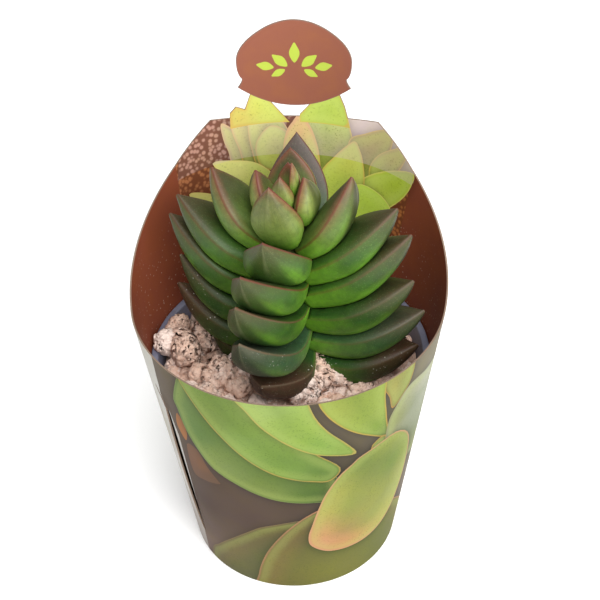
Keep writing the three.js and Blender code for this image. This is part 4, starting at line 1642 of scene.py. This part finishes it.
    def inner_shapes(self) -> list[PrintedShape]:
        """The inner panel's picture: pebbles, a rosette of pale leaves, a lilac band.

        Returns:
            The shapes, the farthest first.
        """
        gold = (206, 158, 82)
        picture = (
            (39, 100), (40.5, 118), (33, 124), (24, 128), (0, 124), (-24, 128), (-35, 124), (-41.5, 117),
            (-37.5, 96), (-34, 76), (30, 76),
        )
        return [
            PrintedShape(
                picture,
                ((30, 110, (170, 108, 72)), (-36, 98, (176, 108, 60)), (0, 100, (150, 92, 60))),
                line=0, shadow=0, grit=1.0, curved=False,
            ),
            PrintedShape(
                ((-13, 140), (-15, 122), (-19, 111), (-30, 110), (-40.5, 111), (-41.3, 117), (-35, 125),
                 (-30, 140)),
                ((-20, 124, (220, 204, 202)), (-36, 112, (206, 196, 168))),
                line=0, shadow=0,
            ),
            PrintedShape(
                ((23.5, 124), (23, 118.5), (21.5, 114), (20, 109), (14, 108), (16, 116), (19.5, 121)),
                ((21, 117, (182, 172, 96)),),
                gold, 0.5,
            ),
            PrintedShape(
                ((20, 129.5), (20.5, 125), (20, 120), (18, 114), (15.5, 106), (9, 106), (12, 120),
                 (15, 125.5)),
                ((18, 122, (196, 184, 100)), (12, 110, (170, 170, 84))),
                gold, 0.6,
            ),
            PrintedShape(
                ((13, 131), (14.5, 127.5), (15, 121.5), (14, 113), (11, 106), (0, 106), (1, 115.5),
                 (4, 122), (8.5, 127)),
                ((12, 124, (196, 196, 104)), (6, 112, (176, 184, 88))),
                gold, 0.6,
            ),
            PrintedShape(
                ((8, 120.5), (10.5, 118.5), (12.5, 115), (12.5, 111), (10, 106), (0, 104), (0.5, 112),
                 (2, 117.5), (5, 120)),
                ((7, 116, (188, 194, 96)),),
                (196, 150, 78), 0.6,
            ),
            PrintedShape(
                ((-2, 125), (-4, 127.5), (-7.5, 130.5), (-13.5, 131.5), (-16, 127.5), (-17.5, 121.5),
                 (-18.5, 116), (-17, 106), (-4, 104), (-2, 115)),
                ((-10, 126, (176, 204, 72)), (-12, 112, (160, 170, 76))),
                (214, 182, 84), 0.8,
            ),
            PrintedShape(
                ((-1.5, 124.5), (1, 121.5), (3, 118), (4, 111), (2, 102), (-7, 102), (-7.5, 110),
                 (-6, 117), (-4, 121.5)),
                ((-1, 121, (206, 150, 74)), (-2, 110, (184, 186, 92))),
                gold, 0.6,
            ),
            PrintedShape(
                ((-17.5, 118), (-22.5, 121), (-28, 124), (-32.5, 125), (-32, 119), (-29, 113.5),
                 (-25, 106), (-20, 98), (-16, 104), (-16.5, 112)),
                ((-26, 119, (160, 148, 52)), (-20, 106, (170, 176, 72))),
                (214, 178, 84), 0.6,
            ),
            PrintedShape(
                ((-27, 115), (-33, 119.5), (-39, 122.5), (-37, 116), (-32.5, 109.5), (-26, 104),
                 (-24, 109)),
                ((-33, 116, (168, 158, 70)), (-27, 108, (176, 186, 80))),
                (214, 178, 84), 0.5,
            ),
            PrintedShape(
                ((-20, 103), (-25, 108), (-33.5, 112.5), (-41.5, 115), (-40.5, 110), (-37.5, 105),
                 (-33, 100), (-28, 96), (-20, 96)),
                ((-34, 108, (162, 182, 56)), (-26, 101, (192, 208, 86))),
                (222, 206, 110), 0.6,
            ),
            PrintedShape(
                ((-19, 117.5), (-15.5, 114.5), (-12, 110.5), (-8, 105), (-7, 97), (-12, 90), (-20, 94),
                 (-22.5, 103), (-22, 111), (-20.8, 115)),
                ((-17, 112, (186, 190, 84)), (-14, 100, (176, 192, 80))),
                gold, 0.6,
            ),
            PrintedShape(
                ((-20, 103), (-27.5, 102.5), (-32.5, 99), (-32, 94), (-27, 90), (-19, 88), (-16, 96)),
                ((-26, 97, (180, 206, 76)),),
                (224, 206, 120), 0.5,
            ),
            PrintedShape(
                ((27, 111.5), (19.5, 110.5), (12, 108), (6, 102), (4, 94), (12, 94), (20.5, 103.5)),
                ((20, 107, (222, 216, 132)), (10, 102, (190, 200, 98))),
                (224, 204, 120), 0.5,
            ),
            PrintedShape(
                ((36, 104.5), (31, 103), (24, 99), (14, 92), (28, 94), (33, 99)),
                ((30, 100, (200, 190, 110)),),
                (216, 190, 110), 0.4,
            ),
            PrintedShape(
                ((40, 111), (20, 110.8), (0, 110.6), (-20, 110.8), (-41, 111), (-41.5, 118), (-36, 140),
                 (34, 140), (39, 118)),
                ((0, 118, (206, 182, 180)),),
                line=0, shadow=0, share=0.34, curved=False,
            ),
        ]

    def sprig(self, foot: float) -> list[PrintedShape]:
        """The badge's plain ornament: a little sprig of leaves, above a height.

        Args:
            foot: Height of the panel's top.

        Returns:
            The leaves.
        """
        made = []
        leaves = (
            (0, 21, 90, 6.5), (-4.5, 18.5, 140, 6), (4.5, 18.5, 40, 6), (-9, 17, 165, 5.5),
            (9, 17, 15, 5.5), (-5, 14.5, 205, 4.6), (5, 14.5, -25, 4.6),
        )
        half = [(-0.22, 0.2), (0.05, 0.24), (0.3, 0.13)]
        blade = [(-0.5, 0), *half, (0.5, 0), *[(a, -b) for a, b in reversed(half)]]
        for x, up, degrees, length in leaves:
            angle = math.radians(degrees)
            along = np.array([math.cos(angle), math.sin(angle)])
            over = np.array([-math.sin(angle), math.cos(angle)])
            outline = [tuple(np.array([x, foot + up]) + (a * along + b * over) * length) for a, b in blade]
            made.append(PrintedShape(outline, ((x, foot + up, self.lime),), line=0, shadow=0))
        return made


@dataclass(frozen=True)
class PrintedSheet:
    """Satin printed plastic sheet, whose triangles carry the print."""

    cut: Colour = paint(112, 92, 76)
    fuzz: Colour = paint(104, 90, 76)
    dust: Colour = paint(196, 176, 160)
    glow: Colour = paint(206, 222, 120)
    deep: Colour = paint(70, 104, 34)
    dot: Colour = paint(60, 84, 30)
    sheen: Colour = paint(220, 224, 150)
    speck: Colour = paint(70, 76, 40)
    hollow: Colour = paint(92, 46, 28)
    pebble: Colour = paint(196, 128, 78)

    def printed(self, name: str, strength: float, dusty: bool) -> bpy.types.Material:
        """A printed face.

        Args:
            name: The material's name.
            strength: How light the inks are.
            dusty: Whether specks of compost dust cling to its lower part.

        Returns:
            The material.
        """
        r = Recipe(name)
        where = r.place()
        ink, rim = r.attribute("ink", "Color"), r.attribute("rim", "Color")
        depth, line, grit = (r.attribute(key) for key in ("depth", "line", "grit"))
        soft = r.cloud(where, 9.0, 4.0, 0.6)
        fine = r.cloud(r.shifted(where, (4.0, 9.0, 1.0)), 1.5, 4.0, 0.65)
        drawn = 1 - r.smooth(depth - line * 0.5 + (fine - 0.5) * 0.6, -0.3, 0.35)
        colour = r.mix(drawn * r.least(line * 2, 0.75) * (0.35 + soft), ink, rim)
        inner = r.least(depth, 3.0) / 3
        leafy = r.smooth(line, 0.22, 0.34) * r.smooth(depth, 0.3, 1.4)
        glow = leafy * (1 - r.smooth(depth + (soft - 0.5) * 3, 1.5, 5.0))
        colour = r.mix(glow * 0.2, colour, self.glow)
        deep = leafy * r.smooth(depth + (soft - 0.5) * 4, 4.0, 11.0)
        colour = r.mix(deep * 0.3, colour, self.deep)
        dots = (1 - r.smooth(r.cells(where, 1.0), 0.12, 0.3)) * leafy * r.smooth(soft, 0.35, 0.6)
        colour = r.mix(dots * 0.35, colour, self.dot)
        colour = r.mix(r.smooth(soft, 0.35, 0.7) * 0.22 * inner, colour, self.sheen, "SOFT_LIGHT")
        specks = r.smooth(r.cloud(where, 0.7, 3.0, 0.7), 0.5, 0.7)
        colour = r.mix(specks * 0.2 * inner * leafy, colour, self.speck)
        stones = r.cells(where, 1.5)
        colour = r.mix(r.smooth(stones, 0.25, 0.6) * grit * 0.8, colour, self.hollow)
        colour = r.mix((1 - r.smooth(stones, 0.05, 0.3)) * grit * fine * 0.35, colour, self.pebble)
        light = r.node("ShaderNodeVectorMath", {"operation": "SCALE"}, {0: colour, 3: strength})
        colour = r.wire(light)
        if dusty:
            _, _, height = r.split(where)
            low = 1 - r.smooth(height + soft * 30, 92.0, 122.0)
            grains = (1 - r.smooth(r.cells(r.shifted(where, (7.0, 2.0, 5.0)), 1.5), 0.08, 0.2)) * low
            colour = r.mix(grains * 0.5, colour, self.dust)
        return r.finish(colour, 0.55 + 0.1 * soft, r.cloud(where, 3.0), 0.02, {"Specular IOR Level": 0.12})

    def outside(self) -> bpy.types.Material:
        """The outer face."""
        return self.printed("sheet_outside", 0.5, False)

    def inside(self) -> bpy.types.Material:
        """The inner face."""
        return self.printed("sheet_inside", 0.84, True)

    def cut_edge(self) -> bpy.types.Material:
        """The pale cut edge.

        Returns:
            The material.
        """
        r = Recipe("sheet_cut_edge")
        fuzz = r.cloud(r.place(), 0.8, 3.0)
        return r.finish(r.mix(fuzz * 0.3, self.cut, self.fuzz), 0.6 + 0.1 * fuzz)


@dataclass
class DisplaySleeve:
    """The tapering sleeve of printed sheet, with its back panel, badge and locking slit."""

    pot_height: float = 71.5
    rim_radius: float = 42.5
    sheet: float = 0.5
    taper: float = 8.25
    front_rise: float = 23.3
    shoulder_rise: float = 44.5
    corner_rise: float = 54.5
    panel_rise: float = 52.0
    panel_turn: float = 176.0
    corner_angle: float = 30.0
    shoulder_angle: float = 46.5
    sweep_angle: float = 100.0
    sweep_power: float = 1.3
    slit_angle: float = -56.5
    slit_bottom: float = 12.6
    slit_top_rise: float = 7.5
    hook_reach: float = 5.0
    hook_height: float = 9.0
    slit_width: float = 0.7
    lip_lift: float = 1.1
    lip_width: float = 9.0
    back_growth: float = 1.32
    front_reach: float = 66.0
    spacing: float = 1.6
    seam_slack: float = 1e-3
    weld: float = 0.005

    def radius(self, z: np.ndarray | float) -> np.ndarray | float:
        """Outer radius at a height."""
        at_rim = self.rim_radius + GAP + self.sheet
        return at_rim + math.tan(math.radians(self.taper)) * (z - self.pot_height)

    def edge(self, degrees: float) -> float:
        """Height of the top edge at an angle from the panel's middle, badge aside.

        Args:
            degrees: The angle.

        Returns:
            The height.
        """
        away = abs(degrees)
        if away >= self.sweep_angle:
            return self.pot_height + self.front_rise
        if away >= self.shoulder_angle:
            climb = ((self.sweep_angle - away) / (self.sweep_angle - self.shoulder_angle)) ** self.sweep_power
            return self.pot_height + self.front_rise + (self.shoulder_rise - self.front_rise) * climb
        if away >= self.corner_angle:
            climb = (self.shoulder_angle - away) / (self.shoulder_angle - self.corner_angle)
            return self.pot_height + self.shoulder_rise + (self.corner_rise - self.shoulder_rise) * climb
        share = (away / self.corner_angle) ** 2
        return self.pot_height + self.panel_rise + (self.corner_rise - self.panel_rise) * share

    def badge_outline(self) -> list[tuple[float, float]]:
        """The badge: an oval top, a waist and a bowed foot, as across and height pairs.

        Returns:
            The closed outline.
        """
        pulls = [
            ((8.75, 3.7), (17.5, 11.0)),
            ((16.1, 12.6), (16.1, 13.6)),
            ((17.8, 15.0), (17.8, 19.5)),
            ((17.8, 24.0), (11.5, 27.8)),
            ((5.75, 31.4), (0.0, 31.4)),
        ]
        start, right = (0.0, 3.7), [(0.0, 3.7)]
        for pull, end in pulls:
            for t in np.linspace(0, 1, 13)[1:]:
                a, b, c = (1 - t) ** 2, 2 * t * (1 - t), t * t
                right.append(tuple(a * p + b * q + c * s for p, q, s in zip(start, pull, end)))
            start = end
        foot = self.pot_height + self.panel_rise
        right = [(x, foot + y) for x, y in right]
        return right + [(-x, y) for x, y in reversed(right[1:-1])]

    def neck_outlines(self) -> list[list[tuple[float, float]]]:
        """The two cut-out leaf shapes that carry the badge, as across and height outlines.

        Returns:
            The left one and the right one.
        """
        foot = self.pot_height + self.panel_rise
        left = [
            (20.5, -2), (20.4, 3), (18.4, 4.8), (15.6, 3.4), (14.9, 5.2), (13.6, 8.6), (9.6, 7.6), (4.6, 1.4),
            (1.8, -2),
        ]
        right = [(-1.4, -2), (-1.4, 0.6), (-4.6, 4.2), (-8, 7.5), (-14, 8.2), (-15.6, 4.6), (-17.4, -2)]
        return [[(x, foot + rise) for x, rise in side] for side in (left, right)]

    def slit_outline(self) -> list[tuple[float, float]]:
        """The locking slit, its top end hooked to the left.

        Returns:
            The outline, from its own middle line.
        """
        top, half = self.pot_height + self.slit_top_rise, self.slit_width / 2
        bend = top - self.hook_height
        return [
            (-half, self.slit_bottom),
            (half, self.slit_bottom),
            (half, bend),
            (-half, bend + 0.55 * self.hook_height),
            (-self.hook_reach, top + half),
            (-self.hook_reach - half, top - half),
            (-2 * half, bend + 0.3 * self.hook_height),
        ]

    def slit_turn(self) -> float:
        """The slit's angle from the panel's middle."""
        return (self.slit_angle - self.panel_turn + 180) % 360 - 180

    def flat_shape(self) -> tuple[list[np.ndarray], np.ndarray]:
        """The sheet laid flat: turns from the panel's middle in degrees, by height.

        Returns:
            The closed outlines whose union is the sheet, and the slit's outline.
        """
        bends = np.array([self.corner_angle, self.shoulder_angle, self.sweep_angle])
        turns = np.unique(np.concatenate([np.linspace(-180, 180, 241), bends, -bends]))
        top = [(float(t), self.edge(t)) for t in turns]
        wall = [(-180.0, 0.0), *[(float(t), 0.0) for t in turns[1:-1]], (180.0, 0.0), *reversed(top)]
        extras = [self.turned(np.array(o), 0) for o in (self.badge_outline(), *self.neck_outlines())]
        return [np.array(wall), *extras], self.turned(np.array(self.slit_outline()), self.slit_turn())

    def tiled(self, drawings: Sequence[np.ndarray]) -> tuple[np.ndarray, list[tuple[int, ...]]]:
        """Cuts the flat sheet into small triangles that follow every outline, cut or printed.

        Args:
            drawings: The print's outlines, in turns and heights.

        Returns:
            Its points as turn and height pairs, and its triangles.
        """
        shapes, slit = self.flat_shape()
        scale = math.radians(1) * self.rim_radius
        points: list[tuple[float, float]] = []
        edges: list[tuple[int, int]] = []
        for outline in (*shapes, slit, *drawings):
            closed = outline * (scale, 1)
            dense = []
            for a, b in zip(closed, np.roll(closed, -1, 0)):
                parts = max(1, round(float(np.linalg.norm(b - a)) / self.spacing))
                dense += [tuple(a + (b - a) * i / parts) for i in range(parts)]
            first = len(points)
            points += dense
            edges += [(first + i, first + (i + 1) % len(dense)) for i in range(len(dense))]
        step = 360 * scale / round(360 * scale / self.spacing)
        for row, z in enumerate(np.arange(self.spacing, 156, self.spacing * 0.9)):
            for x in np.arange(-180 * scale + step * (0.5 + 0.5 * (row % 2)), 180 * scale - 0.4 * step, step):
                points.append((float(x), float(z)))
        made, _, faces, *_ = delaunay_2d_cdt([Vector(p) for p in points], edges, [], 0, 1e-5)
        flat = np.array([(p.x / scale, p.y) for p in made])
        faces = np.array([face for face in faces if len(face) == 3])
        middles = flat[faces].mean(1)
        kept = np.zeros(len(faces), bool)
        for shape in shapes:
            kept |= inside(middles, shape)
        kept &= ~inside(middles, slit)
        used, numbered = np.unique(faces[kept], return_inverse=True)
        return flat[used], [tuple(face) for face in numbered.reshape(-1, 3).tolist()]

    def lifted(self, flat: np.ndarray) -> np.ndarray:
        """How far each point stands out from the plain taper: the slit's left lip is raised.

        Args:
            flat: The flat sheet's points.

        Returns:
            A distance for each.
        """
        across = np.radians(flat[:, 0] - self.slit_turn()) * self.radius(flat[:, 1])
        top = self.pot_height + self.slit_top_rise
        share = np.clip((flat[:, 1] - self.slit_bottom) / (top - self.slit_bottom), 0, 1)
        swell = np.sin(np.pi * share) ** 0.6
        fade = np.clip(1 + across / self.lip_width, 0, 1) ** 2
        return np.where(across < 0, self.lip_lift * swell * fade, 0.0)

    def rolled(self, flat: np.ndarray, inset: float) -> np.ndarray:
        """Points of the flat sheet, rolled up and set in from the outer face.

        Args:
            flat: The flat sheet's points.
            inset: How far they lie inside the outer face.

        Returns:
            The points.
        """
        turn = np.radians(flat[:, 0] + self.panel_turn)
        radius = self.radius(flat[:, 1]) - inset + self.lifted(flat)
        return np.stack([radius * np.sin(turn), -radius * np.cos(turn), flat[:, 1]], -1)

    def turned(self, outline: np.ndarray, middle: float) -> np.ndarray:
        """An outline in millimetres as turns and heights, its middle at an angle from the panel's."""
        radius = self.radius(outline[:, 1])
        return np.stack([np.degrees(outline[:, 0] / radius) + middle, outline[:, 1]], -1)

    def unturned(self, flat: np.ndarray, middle: float) -> np.ndarray:
        """Turns and heights as millimetres across from an angle and up."""
        turn = (flat[..., 0] - middle + 180) % 360 - 180
        return np.stack([np.radians(turn) * self.radius(flat[..., 1]), flat[..., 1]], -1)

    def top_shapes(self, design: SleevePrint) -> list[PrintedShape]:
        """The print on what stands above the panel.

        Args:
            design: The sleeve's print.

        Returns:
            The two necks and the badge, plain.
        """
        foot = self.pot_height + self.panel_rise
        green = (
            (9, foot + 4, (190, 196, 96)), (-9, foot + 4, (170, 190, 84)),
            (18, foot, (196, 170, 90)),
        )
        necks = [
            PrintedShape(neck, green, design.warm, 0.4, 0, curved=False) for neck in self.neck_outlines()
        ]
        plain = ((0, foot, design.badge),)
        return [*necks, PrintedShape(self.badge_outline(), plain, design.edge, 0.2, 0, curved=False)]

    def free_edges(self, flat: np.ndarray, faces: list[tuple[int, ...]]) -> list[tuple[int, int]]:
        """The sheet's cut edges, without those that meet at the seam behind.

        Args:
            flat: The flat sheet's points.
            faces: Its triangles.

        Returns:
            Pairs of point numbers.
        """
        borders = dict.fromkeys((a, b) for face in faces for a, b in zip(face, [*face[1:], face[0]]))
        seam = np.abs(np.abs(flat[:, 0]) - 180) < self.seam_slack
        return [(a, b) for a, b in borders if (b, a) not in borders and not (seam[a] and seam[b])]

    def outer_ink(
        self, triangles: np.ndarray, ahead: list[PrintedShape], behind: list[PrintedShape]
    ) -> Ink:
        """Prints the outer face, one picture in front and another behind on the same ground.

        Args:
            triangles: The flat triangles' corners, as turns and heights.
            ahead: The front's shapes.
            behind: The back's shapes.

        Returns:
            The ink.
        """
        at_front = self.unturned(triangles, -self.panel_turn)
        middles = self.unturned(triangles.mean(1), -self.panel_turn)
        ground = blended(at_front.reshape(-1, 2), SleevePrint().outer_ground())
        back = Ink.laid(self.unturned(triangles, 0), ground, behind)
        return Ink.laid(at_front, ground, ahead).beside(back, np.abs(middles[:, 0]) < self.front_reach)

    @staticmethod
    def carry(mesh: bpy.types.Mesh, outside: Ink, within: Ink, inwards: bool) -> None:
        """Lays the print on a mesh's corners. Those of the cut edges stay bare.

        Args:
            mesh: The sleeve, its outer triangles first, then its inner ones.
            outside: The outer face's ink.
            within: The inner face's ink.
            inwards: Whether the triangles were turned round after they were cut.
        """
        for part in fields(Ink):
            name, outer, inner = part.name, getattr(outside, part.name), getattr(within, part.name)
            pair = (outer[:, ::-1], inner) if inwards else (outer, inner[:, ::-1])
            values = np.concatenate([corners.reshape(-1, *corners.shape[2:]) for corners in pair])
            bare = np.zeros((len(mesh.loops) - len(values), *values.shape[1:]))
            values = np.concatenate([values, bare]).astype(np.float32)
            if values.ndim == 2:
                layer = mesh.attributes.new(name, "FLOAT_COLOR", "CORNER")
                layer.data.foreach_set("color", np.insert(values, 3, 1.0, axis=1).ravel())
            else:
                mesh.attributes.new(name, "FLOAT", "CORNER").data.foreach_set("value", values)

    def build(self) -> None:
        """Makes the sleeve with its outer face, inner face and cut edges."""
        design = SleevePrint()
        top = self.top_shapes(design)
        ahead = design.outer_shapes()
        behind = [shape.taller(self.back_growth) for shape in ahead[1:]]
        inner = [*design.inner_shapes(), *top, *design.sprig(self.pot_height + self.panel_rise)]
        front = -self.panel_turn
        placed = ((inner, 0), (ahead, front), (ahead, front + 360), (behind, 0))
        drawings = [self.turned(shape.drawn(), middle) for shapes, middle in placed for shape in shapes]
        flat, faces = self.tiled(drawings)
        points = np.vstack([self.rolled(flat, 0.0), self.rolled(flat, self.sheet)])
        count = len(flat)
        lining = [tuple(count + i for i in reversed(face)) for face in faces]
        walls = [(b, a, count + a, count + b) for a, b in self.free_edges(flat, faces)]
        every = [*faces, *lining, *walls]
        inwards = closed_volume(points, every) < 0
        if inwards:
            every = [tuple(reversed(face)) for face in every]
        finish = PrintedSheet()
        materials = [finish.outside(), finish.inside(), finish.cut_edge()]
        sleeve = mesh_object("printed_sleeve", points, every, materials)
        slots = np.repeat([side.value for side in SheetSide], [len(faces), len(lining), len(walls)])
        sleeve.data.polygons.foreach_set("material_index", slots)
        triangles = flat[np.array(faces)]
        at_back = self.unturned(triangles, 0)
        within = Ink.laid(at_back, blended(at_back.reshape(-1, 2), design.inner_ground()), inner)
        outside = self.outer_ink(triangles, ahead, [*behind, *top])
        self.carry(sleeve.data, outside, within, inwards)
        mesh = bmesh.new()
        mesh.from_mesh(sleeve.data)
        bmesh.ops.remove_doubles(mesh, verts=mesh.verts, dist=self.weld * MM)
        mesh.to_mesh(sleeve.data)
        mesh.free()
        sleeve.data.shade_smooth()
        sleeve.data.set_sharp_from_angle(angle=math.radians(40))
        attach(sleeve, "root")
        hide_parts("sleeve")
        log.info("printed_sleeve: %d faces", len(sleeve.data.polygons))


# ---- the studio


@dataclass
class Studio:
    """A pale floor, soft light and the camera."""

    target: Place = (3.372, 0.0, 92.42)
    distance: float = 479.5
    elevation: float = 0.722
    roll: float = -0.028
    lens: float = 96.98

    def camera(self) -> None:
        """Sets the camera up, looking down at the front."""
        e, roll = self.elevation, self.roll
        back = Vector((0, -math.cos(e), math.sin(e)))
        up = Vector((0, math.sin(e), math.cos(e)))
        right = Vector((1, 0, 0))
        x = right * math.cos(roll) + up * math.sin(roll)
        y = up * math.cos(roll) - right * math.sin(roll)
        data = bpy.data.cameras.new("camera")
        data.lens, data.sensor_width = self.lens, 36.0
        data.clip_start, data.clip_end = 0.01, 20.0
        made = bpy.data.objects.new("camera", data)
        place = (Vector(self.target) + back * self.distance) * MM
        made.matrix_world = Matrix.Translation(place) @ Matrix((x, y, back)).transposed().to_4x4()
        bpy.context.scene.collection.objects.link(made)
        bpy.context.scene.camera = made

    def lamp(self, name: str, place: Place, size: float, watts: float) -> None:
        """A square soft light that looks at the plant.

        Args:
            name: Its name.
            place: Where it stands, in metres.
            size: Its side, in metres.
            watts: Its power.
        """
        data = bpy.data.lights.new(name, "AREA")
        data.size, data.energy = size, watts
        made = bpy.data.objects.new(name, data)
        made.location = place
        made.rotation_mode = "QUATERNION"
        aim = Vector((0, 0, 0.09)) - Vector(place)
        made.rotation_quaternion = aim.to_track_quat("-Z", "Y")
        bpy.context.scene.collection.objects.link(made)

    def floor(self) -> None:
        """The plain pale floor."""
        r = Recipe("pale_floor")
        material = r.finish(paint(250, 250, 250), 0.9)
        points = np.array([(-3000.0, -3000.0, 0), (3000, -3000, 0), (3000, 3000, 0), (-3000, 3000, 0)])
        floor = mesh_object("pale_floor", points, [(0, 1, 2, 3)], [material])

    def build(self) -> None:
        """Sets up the camera, the light and the floor."""
        self.camera()
        self.floor()
        world = bpy.data.worlds.new("soft_room")
        world.use_nodes = True
        ground = world.node_tree.nodes["Background"]
        ground.inputs["Color"].default_value = (1.0, 1.0, 1.0, 1.0)
        ground.inputs["Strength"].default_value = 0.8
        bpy.context.scene.world = world
        self.lamp("key", (0.35, -0.9, 0.85), 0.9, 19.0)
        self.lamp("fill", (0.75, -0.45, 0.7), 0.8, 3.0)
        self.lamp("top", (0.15, -0.15, 1.2), 0.6, 5.0)
        bpy.context.scene.view_settings.view_transform = "Standard"
        log.info("studio ready")


# ---- the whole


def main() -> None:
    """Builds every part in order."""
    logging.basicConfig(level=logging.INFO, format="%(name)s: %(message)s")
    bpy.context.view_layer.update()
    stone = PorousStone().material()
    NurseryPot().build()
    GravelBed().build(stone)
    StoneHeap().build(stone)
    Plant().build()
    DisplaySleeve().build()
    Studio().build()


if __name__ == "__main__":
    main()
